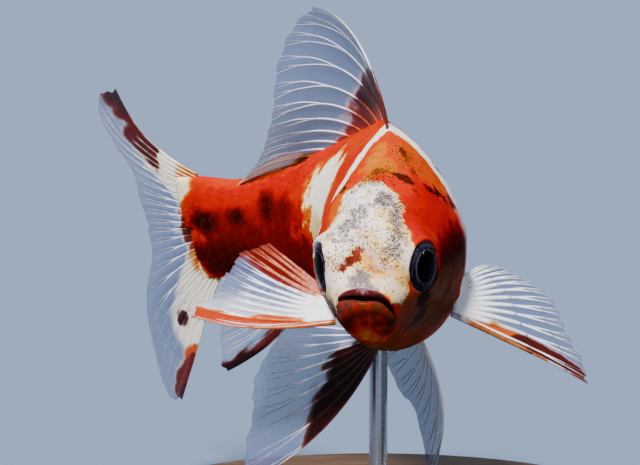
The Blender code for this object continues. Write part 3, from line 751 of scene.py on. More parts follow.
def eye_finish():
    """Rings by the distance off the eye's axis: pupil, light ring, mottled dark iris, pale rim."""
    finish = Finish("eye", Roughness=0.04, Specular_IOR_Level=0.012)
    ring, turn, _, _ = finish.attribute("rings")
    fine = finish.noise(0.0003, 4.0, 0.7)
    streak = finish.noise(0.0007)
    uneven = ring + (fine - 0.5) * 0.03
    iris = finish.mix(streak.between(0.40, 0.62), (0.003, 0.002, 0.004), (0.014, 0.009, 0.018))
    marks = turn.between(0.55, 0.95) * ring.between(0.70, 0.80) * fine.between(0.45, 0.62)
    iris = finish.mix(marks, iris, (0.040, 0.038, 0.070))
    light_ring = finish.mix(streak.between(0.35, 0.65), (0.012, 0.009, 0.014), (0.060, 0.050, 0.070))
    rim = finish.mix(streak.between(0.35, 0.65), (0.035, 0.020, 0.035), (0.20, 0.16, 0.22))
    colour = (0, 0, 0)
    for low, high, tone in ((0.60, 0.62, light_ring), (0.655, 0.69, iris), (0.915, 0.935, rim),
                            (0.98, 1.0, (0.012, 0.005, 0.008))):
        colour = finish.mix(uneven.between(low, high), colour, tone)
    finish.feed(Base_Color=colour)
    return finish.material


def wood_finish():
    """Dark stained wood, its grain along X."""
    finish = Finish("stand wood", Specular_IOR_Level=0.25, Coat_Weight=0.08, Coat_Roughness=0.25)
    place = finish.place(Scale=(1, 9, 9))
    rings = finish.noise(1 / 55, 5.0, 0.62, place, 0.6)
    pores = finish.noise(1 / 420, 2.0, 0.5, place)
    stops = ((0.30, (0.030, 0.014, 0.007)), (0.52, (0.085, 0.040, 0.018)), (0.75, (0.150, 0.075, 0.034)))
    colour = finish.mix(pores.between(0.60, 0.72) * 0.6, finish.ramp(stops, rings), (0.012, 0.006, 0.004))
    finish.feed(Base_Color=colour, Roughness=0.38 + 0.2 * pores)
    finish.feed(Normal=finish.bump(rings + pores * 0.4, 0.00012))
    return finish.material


def steel_finish():
    """Steel brushed round the rod."""
    finish = Finish("stand steel", Metallic=1.0)
    lines = finish.noise(1 / 900, 3.0, 0.5, finish.place(Scale=(0.4, 0.4, 14)))
    finish.feed(Base_Color=finish.mix(lines, (0.42, 0.42, 0.44), (0.66, 0.66, 0.67)))
    finish.feed(Roughness=0.20 + 0.22 * lines, Normal=finish.bump(lines, 0.00002))
    return finish.material


def floor_finish():
    finish = Finish("floor", Roughness=1.0, Specular_IOR_Level=0.0)
    grain = finish.noise(0.05, 4.0, 0.5)
    finish.feed(Base_Color=finish.mix(grain, (0.150, 0.205, 0.30), (0.154, 0.210, 0.306)))
    return finish.material


# Skin and scales
def build_skin(finish):
    """The whole body as rings: along = q^2 near the snout, where sections grow as the root of along."""
    stations = np.concatenate([
        np.linspace(0.06, 2.55, 50) ** 2,
        np.arange(6.75, 32.0, 0.25),
        np.arange(32.0, 100.0, 0.45),
        np.linspace(100.0, SKIN_END, 9),
    ])
    around = np.linspace(0, 2 * np.pi, 256, endpoint=False)
    along, turn = np.meshgrid(stations, around, indexing="ij")
    plain = body_point(along, turn, -SKIN_DEPTH)
    points = head_relief(plain)
    points = points + grid_normals(points, True) * skin_relief(plain, turn)[..., None]
    # The skin sinks behind each eyeball, and runs to a point at either end
    for side in (1, -1):
        depth, off = off_eye(points, side)
        sink = fade(EYE_RIM - 0.20, EYE_RIM - 0.62, off) * (depth > -EYE_DEPTH)
        points = points - (sink * np.maximum(depth - 0.3, 0))[..., None] * eye_axis(side)
    tip = head_relief(body_point(np.zeros(1), np.zeros(1)))[0] + (SKIN_DEPTH, 0, 0)
    whole = np.concatenate([points.reshape(-1, 3), [tip, points[-1].mean(0)]])
    flat = np.concatenate([plain.reshape(-1, 3), [tip, plain[-1].mean(0)]])
    flesh = ("head", "lower_jaw", "gill_cover_left", "gill_cover_right", "trunk", "tail_stalk")
    make_piece("skin", bend(whole), capped_faces(*along.shape), finish, flesh,
               markings(flat, np.append(turn, (0, 0))))


SCALE_PITCH = 2.35
SCALE_COLUMNS = np.arange(34.0, 99.0, SCALE_PITCH)
SCALE_ANGLES = np.linspace(-72, 76, 13)
SCALE_LENGTH = 0.82         # half its length and half its width, in pitches
SCALE_WIDTH = 0.56
SCALE_LIFT = 0.055          # how far its free edge stands out, and how far its middle is domed
SCALE_DOME = 0.025
SCALE_SPOKES = 12
SCALE_RINGS = 3
SHARP = math.radians(35)    # edges sharper than this stay sharp


def build_scales(side, finish):
    """Lens-shaped scales in staggered rows, each overlapping the one behind it.

    Over a unit disc (back, across) a scale rises evenly to its free rear edge; its upper face is
    the body's surface lifted by that rise, and its lower face lies in the skin.
    """
    pitch = SCALE_ANGLES[1] - SCALE_ANGLES[0]
    column, row = np.indices((len(SCALE_COLUMNS), len(SCALE_ANGLES)))
    centre = SCALE_COLUMNS[column].ravel()
    angle = (SCALE_ANGLES[row] + (column % 2) * pitch / 2).ravel()
    keep = centre > np.maximum(gill_edge(np.radians(angle)) + 6, 34 + 12 * fade(25, 60, angle))
    centre, angle = centre[keep], angle[keep]
    # One scale: rings out over its upper face and back in over its lower one, then the two middles
    outward = np.arange(1, SCALE_RINGS + 1) / SCALE_RINGS
    radius = np.append(np.repeat(np.concatenate([outward, outward[::-1]]), SCALE_SPOKES), (0, 0))
    spoke = np.append(np.tile(np.arange(SCALE_SPOKES) * 2 * np.pi / SCALE_SPOKES, 2 * SCALE_RINGS), (0, 0))
    upper = np.append(np.arange(2 * SCALE_RINGS * SCALE_SPOKES) < SCALE_RINGS * SCALE_SPOKES, (True, False))
    back = radius * np.cos(spoke)
    across = radius * np.sin(spoke)
    rise = SCALE_LIFT * fade(-1, 1, back) + SCALE_DOME * (1 - radius ** 2)
    lift = np.where(upper, rise + 0.02, np.where(radius == 1, rise - 0.05, -0.12))
    along = centre[:, None] + back * SCALE_PITCH * SCALE_LENGTH
    around = np.radians(angle[:, None] + across * pitch * SCALE_WIDTH)
    around = around if side > 0 else np.pi - around
    points = body_point(along, around, lift - SKIN_DEPTH).reshape(-1, 3)
    one = capped_faces(2 * SCALE_RINGS, SCALE_SPOKES)
    one = one if side > 0 else turned_over(one)
    faces = [[corner + k * len(radius) for corner in face] for k in range(len(centre)) for face in one]
    paint = markings(points, around.ravel())
    # the tint's fourth channel: painted shade along each scale's free rear edge
    paint["tint"][:, 3] = np.tile(fade(0.55, 1, radius) * fade(-0.3, 0.5, back), len(centre))
    name = "scales_left" if side > 0 else "scales_right"
    piece = make_piece(name, bend(points), faces, finish, attributes=paint)
    piece.data.set_sharp_from_angle(angle=SHARP)
    # Each scale has an island of its own: its column sets u, its angle and side set v
    u = (centre[:, None] - SCALE_PITCH * 0.7) / 110 + back * 0.0015
    v = 0.5 + side * (0.02 + (angle[:, None] + 90) / 900) + across * 0.0015
    unwrap = np.stack([u, v], -1).reshape(-1, 2)
    bake = piece.data.uv_layers.new(name="OFBake")
    corners = np.empty(len(piece.data.loops), np.int32)
    piece.data.loops.foreach_get("vertex_index", corners)
    bake.data.foreach_set("uv", unwrap[corners].astype(np.float32).ravel())


def build_eye(side, finish):
    """The front of an oblate ball, and a cone behind its rim that runs into the head.

    The ball is at D cos(a) along the axis and R sin(a) off it, from the middle to EYE_RIM.
    """
    word = "left" if side > 0 else "right"
    axis = eye_axis(side)
    centre = eye_centre(side)
    upward = np.array((0, 0, 1))
    across = np.cross(upward, axis)
    polar = np.linspace(0, math.asin((EYE_RIM - 0.02) / EYE_RADIUS), 33)[1:]
    off = np.append(np.sin(polar) * EYE_RADIUS, (EYE_RIM - 0.3, EYE_RIM - 1.2))
    depth = np.append(np.cos(polar) * EYE_DEPTH, (0.9, -1.2))
    turn = np.linspace(0, 2 * np.pi, 96, endpoint=False)
    way = np.cos(turn)[:, None] * across + np.sin(turn)[:, None] * upward
    ball = centre + off[:, None, None] * way + (depth[:, None] * axis)[:, None]
    points = np.concatenate([ball.reshape(-1, 3), [centre + EYE_DEPTH * axis, centre + depth[-1] * axis]])
    ring = np.where(np.arange(len(off)) < len(polar), off / EYE_RIM, 2)[:, None] + 0 * turn
    height = 0.5 + 0.5 * np.sin(turn) + 0 * ring
    rings = np.zeros((len(points), 4))
    rings[:, 0] = np.append(ring, (0, 2))
    rings[:, 1] = np.append(height, (0.5, 0.5))
    make_piece("eyeball_" + word, bend(points), turned_over(capped_faces(*ring.shape)), finish,
               ("eye_" + word,), {"rings": rings})


# Fins
FIN_TIP_ROUNDING = 0.07     # of its length, taken off a fin's leading ray
FINE_RAYS = 121
FINE_STEPS = 61
ALONG_RAY = np.linspace(0, 1, FINE_STEPS)
ACROSS_FIN = np.linspace(0, 1, FINE_RAYS)
DORSAL_SPAN = (38, 76)      # where the middle fins' roots lie along the spine
ANAL_SPAN = (79, 87)
TAIL_ROOT = 98.8
FIN_SINK = 0.9              # how deep the dorsal and anal fins' roots lie in the body


def tapered(lengths, shares):
    """Ray lengths read at each share of the fan, with its outermost ray cut back to a rounded tip."""
    whole = smooth(np.linspace(0, 1, len(lengths)), lengths, shares)
    return whole * (1 - FIN_TIP_ROUNDING * bell(shares, 0.07))


def median_fin(along, up, lengths, root_angle, tip_angle, curl, curl_power=2.0):
    """Rays on the body's middle plane: each leaves (along, up) at root_angle above the spine's line
    and turns evenly to tip_angle, and its tip curls to the fish's left by curl."""
    t = ALONG_RAY
    angle = np.radians(root_angle[:, None] + (tip_angle - root_angle)[:, None] * (t[1:] + t[:-1]) / 2)
    step = lengths[:, None] / (FINE_STEPS - 1)
    start = np.zeros((len(lengths), 1))
    back = np.concatenate([start, np.cumsum(np.cos(angle) * step, 1)], 1)
    rise = np.concatenate([start, np.cumsum(np.sin(angle) * step, 1)], 1)
    return bend(np.stack([along[:, None] + back, curl[:, None] * t ** curl_power, up[:, None] + rise], -1))


def paired_fin(root, spread, lead, trail, lengths, closing, cup):
    """Rays of a fan: their directions turn from lead to trail and close up as they run out."""
    j = ACROSS_FIN
    t = ALONG_RAY
    first = unit(np.array(lead))
    last = unit(np.array(trail))
    spread_angle = np.arccos(first @ last)
    turn = (j[:, None] * (1 + (closing - 1) * t)) * spread_angle
    way = np.sin(spread_angle - turn)[..., None] * first + np.sin(turn)[..., None] * last
    way = way / np.sin(spread_angle)
    reach = tapered(lengths, j)[:, None, None] * UNIT
    steps = (way[:, 1:] + way[:, :-1]) / 2 / (FINE_STEPS - 1) * reach
    run = np.concatenate([np.zeros((FINE_RAYS, 1, 3)), np.cumsum(steps, 1)], 1)
    roots = bend(np.array(root) + (j[:, None] - 0.3) * np.array(spread))
    return roots[:, None, :] + run + t[:, None] ** 2 * reach * np.array(cup)


def dorsal_grid():
    """Rays that stand on the back in front and lie back more and more towards the rear."""
    j = ACROSS_FIN
    along = toward(*DORSAL_SPAN, j)
    root_angle, tip_angle, curl = (smooth((0, 0.5, 1), values, j)
                                   for values in ((83, 40, -7), (12, -18, -15), (-9, -8.5, -1)))
    up = body_point(along, np.pi / 2)[:, 2] - FIN_SINK
    return median_fin(along, up, tapered((33, 28, 20.5, 16.5, 16), j), root_angle, tip_angle, curl, 1.4)


def anal_grid():
    """Rays that point down and back from under the stalk."""
    j = ACROSS_FIN
    along = toward(*ANAL_SPAN, j)
    up = body_point(along, -np.pi / 2)[:, 2] + FIN_SINK
    return median_fin(along, up, tapered((29, 20.5, 10), j), -57 + 17 * j, -18 + 14 * j, -2.8 + 0 * j)


def tail_grid():
    """Both lobes at once: j runs from -1 at the lower edge through the fork to 1 at the upper edge."""
    j = np.linspace(-1, 1, 2 * FINE_RAYS - 1)
    upper = j > 0
    share = np.abs(j)
    lengths = np.where(upper, tapered((25, 27.5, 17, 15.5, 15), 1 - share),
                       tapered((31.5, 37, 33, 19, 16), 1 - share))
    return median_fin(TAIL_ROOT + 0 * j, np.where(upper, 9.9, 10.2) * j, lengths, np.where(upper, 31, 53) * j,
                      np.where(upper, 68, 56) * j, np.where(upper, 1.5, -3.4) * share ** 2)


# Root, spread of the root, leading and trailing ways, ray lengths, closing and cup
PAIRED_FINS = {
    "pectoral_fin_left": ((29.1, 10.4, -11), (3, 0.6, 3), (0.785, 0.133, -0.395), (0.27, 0.68, 0.67),
                          (30, 23, 20.5, 15, 9), 0.45, (-0.03, 0.06, -0.01)),
    "pectoral_fin_right": ((29.5, -9.9, -12), (3, -0.6, 3.4), (-0.925, 0.07, -0.16), (-0.43, 0.71, 0.29),
                           (29.5, 24, 23, 22.5, 19.5), 0.6, (0.08, 0.10, 0.17)),
    "pelvic_fin_left": ((44.2, 3.9, -19), (3.5, 0.33, 0.4), (0.455, -0.225, -0.8), (0.035, 0.66, -0.2),
                        (29.5, 30, 20, 21, 21.5), 0.87, (-0.4, 0.1, 0.01)),
    "pelvic_fin_right": ((44, -2.6, -19), (3.6, -0.33, 0.4), (-0.38, 0.05, -0.915), (-0.78, 0.58, -0.02),
                         (39, 29.5, 24.5, 19, 16), 0.74, (-0.25, 0.13, 0.19)),
}


def sample(grid, j, t):
    """A grid's surface read at shares j across its rays and t along them, between its points."""
    rays, count = grid.shape[:2]
    x = np.clip(j, 0, 1) * (rays - 1)
    y = np.clip(t, 0, 1) * (count - 1)
    x0 = np.clip(x.astype(int), 0, rays - 2)
    y0 = np.clip(y.astype(int), 0, count - 2)
    fx = (x - x0)[..., None]
    near = toward(grid[x0, y0], grid[x0 + 1, y0], fx)
    far = toward(grid[x0, y0 + 1], grid[x0 + 1, y0 + 1], fx)
    return toward(near, far, (y - y0)[..., None])


DARK_HUE = 0.72


def fin_paint(look, j, t):
    """Hue, strength, cover and darkness of a fin's pigment: a clear film with stains.

    A stain is (over, hue, strength, cover, softness, stations, lows, highs): over "j" its limits
    are shares along the rays at stations across the fin, and over "t" the other way round. A hue
    over DARK_HUE darkens what lies under it instead of tinting it.
    """
    film, edge, stains = look
    spot = np.stack([j * 9, t * 9, 0 * j], -1)
    ragged = 0.5 * mottle(spot, 2.5, 21) + 0.45 * mottle(spot, 0.9, 22)
    hue = 0.1 + 0 * j
    strength = 0 * j
    dark = 0 * j
    cover = film + (edge - film) * fade(0.45, 1, t) + (0.90 - film) * fade(0.14, 0, t)
    for over, tone, depth, hide, soft, *limits in stains:
        place, value = (j, t) if over == "j" else (t, j)
        stations, lows, highs = np.broadcast_arrays(*limits)
        value = value + ragged * min(0.5 * soft, 0.04)
        share = (fade(-soft, soft, value - np.interp(place, stations, lows))
                 * fade(soft, -soft, value - np.interp(place, stations, highs)))
        cover = toward(cover, hide, share)
        if tone > DARK_HUE:
            dark = toward(dark, (tone - 0.5) * 2 * depth, share)
            continue
        dark = dark * (1 - share)
        kept = strength * (1 - share)
        strength = kept + depth * share
        hue = (hue * kept + tone * depth * share) / np.maximum(strength, 1e-6)
    return hue, strength, cover, dark


TUBE_SIDES = 5


def tubes(paths, normals, radii):
    """Closed tubes along many paths at once: ring = point + r (cos across + 0.8 sin normal)."""
    count, steps = radii.shape
    along = unit(np.gradient(paths, axis=1))
    across = unit(np.cross(along, normals))
    up = np.cross(across, along)
    turn = np.arange(TUBE_SIDES) * 2 * np.pi / TUBE_SIDES
    ring = across[:, :, None] * np.cos(turn)[:, None] + up[:, :, None] * (np.sin(turn) * 0.8)[:, None]
    points = paths[:, :, None] + ring * radii[:, :, None, None]
    starts = np.arange(count) * steps * TUBE_SIDES
    sides = np.arange(TUBE_SIDES)
    faces = (grid_faces(steps, TUBE_SIDES, True) + starts[:, None, None]).reshape(-1, 4).tolist()
    faces += (starts[:, None] + sides).tolist()
    faces += (starts[:, None] + (steps - 1) * TUBE_SIDES + sides[::-1]).tolist()
    return points.reshape(-1, 3), faces


RAY_STEPS = 16
MEMBRANE_STEPS = 46
MEMBRANE_THICKNESS = 0.0001
PLEAT = 0.08 * UNIT
WAVE = 0.35 * UNIT
FRAY = 0.012                # how unevenly the rays end, and how far the membrane is cut back between
NOTCH = 0.016


def build_fin(name, grid, rays, nodes, finishes, stem, forks, bare=()):
    """One fin: a thin membrane that dips between its rays, and rays that fork twice.

    rays holds each ray's share across the fin. The membrane is the fin's surface moved along its
    normal by pleat cos(2 pi ray), cut back a little between the rays. A ray is a stem to the first
    fork, two arms to the second and four to its tip; bare rays keep clear of the fin's stains.
    """
    look = FIN_LOOKS[name]
    draw = np.random.default_rng(len(name) * 7 + len(rays))
    rays = np.array(rays)
    number = np.arange(len(rays))
    gap = np.minimum(np.diff(rays, prepend=-1), np.diff(rays, append=2))
    normal = grid_normals(grid, False)
    fray = 1 - FRAY * np.abs(draw.normal(size=len(rays)))
    fray[[0, -1]] = 1

    def surface(a, b, lift):
        lift = lift * fade(0.05, 0.4, b) + WAVE * np.sin(2 * np.pi * (1.6 * a + 0.7 * b)) * fade(0.35, 1, b)
        return sample(grid, a, b) + sample(normal, a, b) * lift[..., None]

    order = np.linspace(0, number[-1], number[-1] * 8 + 1)
    reach = np.interp(order, number, fray) - NOTCH * (1 - np.cos(2 * np.pi * order)) / 2
    across = np.interp(order, number, rays)[:, None] + np.zeros(MEMBRANE_STEPS)
    out = reach[:, None] * np.linspace(0, 1, MEMBRANE_STEPS)
    sheet = surface(across, out, PLEAT * np.cos(2 * np.pi * order)[:, None])
    paint = np.stack(fin_paint(look, across, out), -1)
    membrane = make_piece(name + "_membrane", sheet, grid_faces(*across.shape, False), finishes["membrane"],
                          nodes, {"pigment": paint})
    shell = membrane.modifiers.new("thickness", "SOLIDIFY")
    shell.thickness = MEMBRANE_THICKNESS
    shell.offset = 0

    # Stem, two arms and four: from, to, how far to the side at either end in gaps, and thickness
    first, second = forks
    all_points, all_faces, all_tones = [], [], []
    total = 0
    for low, high, at_low, at_high, slim in (
            (0, first + 0.02, (0,), (0,), 1.0),
            (first, second + 0.02, (0, 0), (-0.17, 0.17), 0.78),
            (second, 1, (-0.17, -0.17, 0.17, 0.17), (-0.32, -0.12, 0.12, 0.32), 0.60)):
        steps = np.linspace(low, high, RAY_STEPS)
        for start, end in zip(at_low, at_high):
            a = np.clip(rays[:, None] + gap[:, None] * toward(start, end, fade(low, high, steps)), 0, 1)
            b = steps * fray[:, None]
            clear = np.isin(number, bare)[:, None]
            size = stem * (1 - 0.78 * b) * slim * np.where(clear, 0.55, 1)
            hue, strength, _, dark = fin_paint(look, a, b)
            tone = np.stack([hue, np.where(clear, 0.12, strength), 1 - 0.75 * fade(0.70, 1, b),
                             np.where(clear, 0, dark)], -1)
            points, faces = tubes(surface(a, b, PLEAT), sample(normal, a, b), size)
            all_points.append(points)
            all_faces += [[v + total for v in face] for face in faces]
            all_tones.append(np.repeat(tone.reshape(-1, 4), TUBE_SIDES, 0))
            total += len(points)
    make_piece(name + "_rays", np.concatenate(all_points), all_faces, finishes["rays"],
               attributes={"pigment": np.concatenate(all_tones)})


# Where each fin's rays stand across it
DORSAL_RAYS = (0, 0.09, 0.17, 0.265, 0.365, 0.46, 0.555, 0.645, 0.73, 0.81, 0.88, 0.945, 1)
ANAL_RAYS = (0, 0.14, 0.28, 0.42, 0.56, 0.70, 0.85, 1)
TAIL_RAYS = (0, 0.035, 0.075, 0.115, 0.155, 0.195, 0.24, 0.29, 0.34, 0.39, 0.44, 0.485, 0.53, 0.58, 0.63,
             0.68, 0.73, 0.775, 0.82, 0.86, 0.895, 0.93, 0.965, 1)
LEFT_RAYS = (0, 0.04, 0.13, 0.215, 0.30, 0.38, 0.46, 0.54, 0.62, 0.70, 0.78, 0.865, 0.94, 1)
RIGHT_RAYS = (0, 0.03, 0.12, 0.20, 0.29, 0.385, 0.48, 0.57, 0.665, 0.76, 0.86, 0.94, 1)
PELVIC_RAYS = (0, 0.10, 0.21, 0.32, 0.43, 0.54, 0.65, 0.76, 0.88, 1)

# Cover of the film, cover at its edge, and stains (see fin_paint)
FIN_LOOKS = {
    "dorsal_fin": (0.50, 0.36, (
        ("j", 0.56, 0.95, 0.86, 0.10, (0, 0.3, 0.45, 0.6, 0.75, 0.9, 1), -1,
         (0.30, 0.34, 0.28, 0.20, 0.11, 0.04, 0.02)),
        ("j", 0.80, 0.75, 0.88, 0.09, (0, 0.3, 0.45, 0.6, 0.75), (-0.1, 0.04, 0.10, 0.10, 0.08),
         (0.40, 0.36, 0.28, 0.19, 0.06)),
        ("j", 0.93, 1, 0.95, 0.06, (0, 0.15, 0.25, 0.35, 0.5), (0.02, 0.07, 0.10, 0.20, 0.4),
         (0.42, 0.40, 0.35, 0.31, 0.2)),
        ("j", 0.12, 0.7, 0.75, 0.08, (0.80, 0.88, 1), (0.5, 0.25, 0.22), (0.4, 0.95, 1.2)),
        ("j", 0.50, 1, 0.92, 0.06, (0.80, 0.88, 1), (0.2, -1, -1), (0.10, 0.34, 0.26)),
        ("j", 0.88, 1, 0.95, 0.05, (0.90, 0.95, 1), (0.2, 0.02, -1), (0.05, 0.16, 0.20)))),
    "anal_fin": (0.26, 0.18, (
        ("t", 0.78, 1, 0.92, 0.08, (-0.1, 0.14, 0.24), (-1, -1, 0.2), (1.2, 0.9, 0)),
        ("t", 0.86, 1, 0.94, 0.06, (0, 0.3, 0.7, 1), -1, (0.26, 0.17, 0.15, 0.13)),
        ("t", 1.00, 1, 0.96, 0.06, (0.6, 0.75, 1), (0.2, -1, -1), (0, 0.15, 0.13)))),
    "tail_fin": (0.46, 0.34, (
        ("j", 0.12, 0.7, 0.76, 0.14, (0.02, 0.07, 0.14, 0.22, 0.30, 0.36), -1,
         (0.62, 0.62, 0.55, 0.42, 0.28, 0.1)),
        ("j", 0.14, 0.8, 0.80, 0.12, (0.60, 0.74, 0.85, 0.97), -1, (0.2, 0.40, 0.45, 0.40)),
        ("j", 0.46, 1, 0.94, 0.06, (0, 0.1, 0.25, 0.35, 0.45, 0.5, 0.6, 0.7, 0.8, 0.9, 1), -1,
         (0.03, 0.07, 0.16, 0.25, 0.38, 0.40, 0.36, 0.30, 0.20, 0.15, 0.13)),
        ("j", 0.76, 0.9, 0.92, 0.13, (0, 0.1, 0.25, 0.35, 0.45, 0.5, 0.6, 0.7, 0.8, 0.9, 1), -1,
         (-0.1, 0.02, 0.11, 0.24, 0.42, 0.46, 0.36, 0.25, 0.14, 0.06, 0.03)),
        ("j", 0.90, 1, 0.95, 0.13, (0.22, 0.35, 0.45, 0.5, 0.6, 0.68), -1,
         (-0.1, 0.15, 0.32, 0.37, 0.25, -0.1)),
        ("t", 0.84, 1, 0.92, 0.035, (0.26, 0.35, 0.42, 0.5, 0.7, 0.85, 1),
         (0.93, 0.84, 0.865, 0.895, 0.925, 0.94, 0.945), (0.86, 0.96, 1.2, 1.2, 1.2, 1.2, 1.2)),
        ("t", 1.00, 0.9, 0.80, 0.035, (0.66, 0.80, 1), (1.02, 0.97, 0.955), (1, 1.2, 1.2)),
        ("t", 0.50, 1, 0.92, 0.022, (0.56, 0.62, 0.72, 0.78), (0.06, -1, -1, 0.06),
         (0.02, 0.065, 0.07, 0.03)),
        ("t", 0.80, 1, 0.94, 0.022, (0.62, 0.69, 0.80, 0.90, 0.99), (0.06, -1, -1, -1, -1),
         (0.02, 0.070, 0.075, 0.06, 0.02)),
        ("t", 0.95, 0.9, 0.94, 0.02, (0.85, 0.92, 1), (0.04, -1, -1), (0, 0.030, 0.02)),
        ("t", 0.94, 1, 0.94, 0.02, (0.375, 0.41, 0.45, 0.49, 0.53), (0.14, 0.10, 0.092, 0.10, 0.14),
         (0.11, 0.150, 0.160, 0.150, 0.11)))),
    "pectoral_fin_left": (0.50, 0.42, (
        ("j", 0.03, 0.5, 0.72, 0.16, (0, 0.1, 0.5, 0.8, 1), -1, (0.30, 0.34, 0.26, 0.20, 0.16)),
        ("t", 0.46, 1, 0.94, 0.02, (0.08, 0.16, 0.30, 0.45, 0.60, 0.70), -1,
         (-0.05, 0.08, 0.14, 0.13, 0.09, 0)),
        ("t", 0.86, 1, 0.94, 0.02, (0.34, 0.46, 0.60, 0.80, 0.95, 1), -1,
         (0, 0.10, 0.12, 0.105, 0.07, 0.04)),
        ("t", 0.78, 1, 0.90, 0.012, (0, 0.1, 0.5, 0.9), -1, (0.02, 0.028, 0.026, 0.02)))),
    "pectoral_fin_right": (0.50, 0.46, (
        ("t", 0.03, 0.35, 0.60, 0.20, (-0.1, 0.15, 0.4, 0.7, 0.9, 1), -1,
         (1.2, 0.60, 0.42, 0.40, 0.36, 0.3)),
        ("t", 0.58, 0.8, 0.16, 0.10, (0.04, 0.2, 0.4, 0.6, 1), (0.80, 0.70, 0.66, 0.66, 0.70), 1.2),
        ("t", 0.50, 1, 0.94, 0.025, (0.10, 0.22, 0.34, 0.46, 0.60, 0.70), -1,
         (0, 0.13, 0.195, 0.19, 0.12, 0.10)),
        ("t", 0.62, 1, 0.94, 0.025, (0.18, 0.30, 0.45, 0.57), -1, (0, 0.12, 0.13, 0.06)),
        ("t", 0.52, 0.9, 0.92, 0.025, (0.50, 0.60, 0.80, 1), -1, (0.08, 0.11, 0.12, 0.10)))),
    "pelvic_fin_left": (0.56, 0.48, (("j", 0.80, 0.7, 0.90, 0.10, (0, 1), -1, 0.16),)),
    "pelvic_fin_right": (0.46, 0.36, (
        ("j", 0.76, 1, 0.92, 0.08, (0, 0.2, 0.5, 0.8, 1), -1, (0.3, 0.34, 0.5, 0.26, 0.14)),
        ("j", 0.96, 1, 0.95, 0.07, (0, 0.1, 0.2, 0.3, 0.4, 0.5, 0.6, 0.7),
         (-1, -1, -1, -1, 0.02, 0.05, 0.1, 0.3), (0.76, 0.64, 0.57, 0.54, 0.50, 0.46, 0.40, 0.2)))),
}


def build_fins():
    finishes = {"membrane": fin_membrane_finish(), "rays": fin_ray_finish()}
    clear = "fin_membrane"
    build_fin("dorsal_fin", dorsal_grid(), DORSAL_RAYS, ("dorsal_fin",), finishes,
              0.00028, (0.52, 0.80))
    build_fin("anal_fin", anal_grid(), ANAL_RAYS, ("anal_fin",), finishes,
              0.00020, (0.45, 0.75))
    build_fin("tail_fin", tail_grid(), TAIL_RAYS, ("tail_fin_upper", "tail_fin_lower"), finishes,
              0.00024, (0.36, 0.68))
    for name, rays, slot, stem, bare in (
            ("pectoral_fin_left", LEFT_RAYS, clear, 0.00052, (1,)),
            ("pectoral_fin_right", RIGHT_RAYS, clear, 0.00054, (1,)),
            ("pelvic_fin_left", PELVIC_RAYS, clear, 0.00032, ()),
            ("pelvic_fin_right", PELVIC_RAYS, "dark_fin", 0.00028, ())):
        grid = paired_fin(*PAIRED_FINS[name])
        build_fin(name, grid, rays, (name,), finishes, stem, (0.55, 0.82), bare)


# Stand
BASE_STEPS = 144
BASE_EDGE = 0.0015          # radius of the base's rounded upper edge
BASE_FOOT = 0.0005          # the small slope at its foot


def build_base():
    """A profile of (radius, height) turned round Z: a hole for the rod, a flat top, a rounded edge."""
    low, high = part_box("stand_base")
    wide = float(high[0] - low[0]) / 2
    top = float(high[2])
    rod_low, rod_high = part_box("stand_rod")
    hole = float(rod_high[0]) + 0.00015
    profile = [(hole, float(rod_low[2]) - 0.0001), (hole, top - 0.0003), (hole + 0.0003, top)]
    profile += [(wide - BASE_EDGE + BASE_EDGE * math.sin(a), top - BASE_EDGE + BASE_EDGE * math.cos(a))
                for a in np.linspace(0, math.pi / 2, 9)]
    profile += [(wide, BASE_FOOT), (wide - BASE_FOOT, 0)]
    radius, height = np.array(profile).T[..., None]
    turn = np.linspace(0, 2 * np.pi, BASE_STEPS, endpoint=False)
    points = np.stack([radius * np.cos(turn), radius * np.sin(turn), height + 0 * turn], -1)
    faces = grid_faces(len(radius), BASE_STEPS, True).tolist()
    faces.append(range(BASE_STEPS))
    faces.append(range(len(radius) * BASE_STEPS - 1, (len(radius) - 1) * BASE_STEPS - 1, -1))
    piece = make_piece("stand_base_turned", points, faces, wood_finish(), ("stand_base",))
    piece.data.set_sharp_from_angle(angle=SHARP)


def build_stand():
    build_base()
    steel = steel_finish()
    for name in ("stand_rod", "stand_collar"):
        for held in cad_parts[name].material_slots:
            held.material = steel


# Studio
FLOOR = 12.0                # half the floor's width


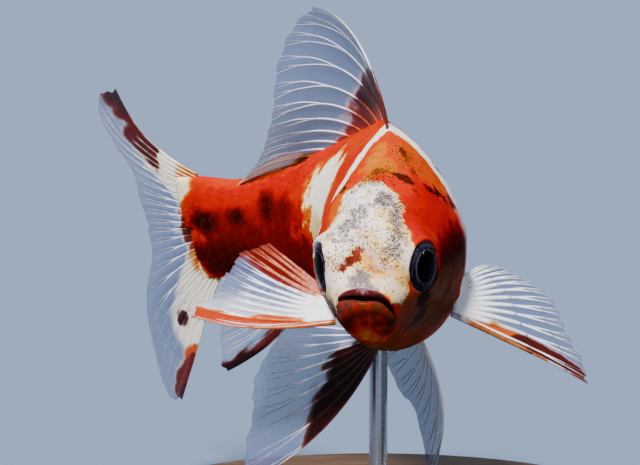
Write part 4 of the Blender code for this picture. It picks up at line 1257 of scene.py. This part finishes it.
def build_studio():
    mesh = bpy.data.meshes.new("floor")
    corners = ((-FLOOR, -FLOOR, 0), (FLOOR, -FLOOR, 0), (FLOOR, FLOOR, 0), (-FLOOR, FLOOR, 0))
    mesh.from_pydata(corners, [], [(0, 1, 2, 3)])
    mesh.materials.append(floor_finish())
    floor = bpy.data.objects.new("floor", mesh)
    bpy.context.scene.collection.objects.link(floor)

    world = bpy.data.worlds.new("studio")
    bpy.context.scene.world = world
    world.use_nodes = True
    sky = world.node_tree.nodes["Background"].inputs
    sky["Color"].default_value = (0.80, 0.88, 1, 1)
    sky["Strength"].default_value = 0.20

    # Suns: where from, strength, and degrees across
    for name, source, strength, size in (
            ("key", (-0.26, -0.60, 0.75), 9, 12),
            ("fill", (0.60, -0.50, 0.20), 0.20, 60),
            ("glint", (0.96, 0.10, 0.20), 0.45, 2.5),
            ("rim", (0.10, 0.60, 0.60), 0.35, 40)):
        lamp = bpy.data.lights.new(name, "SUN")
        lamp.energy = strength
        lamp.angle = math.radians(size)
        holder = bpy.data.objects.new(name, lamp)
        holder.location = source
        holder.rotation_euler = Vector(source).to_track_quat("Z", "Y").to_euler()
        bpy.context.scene.collection.objects.link(holder)


CAMERA_RISE = math.radians(6)
CAMERA_DISTANCE = 520 * UNIT
CAMERA_LENS = 174.4
CAMERA_TARGET = np.array((-10.4, -30.0, 0.9)) * UNIT + (0, 0, SPINE_HEIGHT)


def build_camera():
    camera = bpy.data.cameras.new("camera")
    camera.lens = CAMERA_LENS
    camera.sensor_width = 36
    camera.clip_start = 0.01
    camera.clip_end = 100
    holder = bpy.data.objects.new("camera", camera)
    way = np.array((0, math.cos(CAMERA_RISE), -math.sin(CAMERA_RISE)))
    holder.location = CAMERA_TARGET - way * CAMERA_DISTANCE
    holder.rotation_euler = (math.pi / 2 - CAMERA_RISE, 0, 0)
    bpy.context.scene.collection.objects.link(holder)
    bpy.context.scene.camera = holder


def main():
    build_camera()
    build_studio()
    build_skin(skin_finish("wet skin", 0.00010))
    scale_skin = skin_finish("scale skin", 0.00005)
    for side in (1, -1):
        build_scales(side, scale_skin)
    eye = eye_finish()
    for side in (1, -1):
        build_eye(side, eye)
    build_fins()
    build_stand()


main()
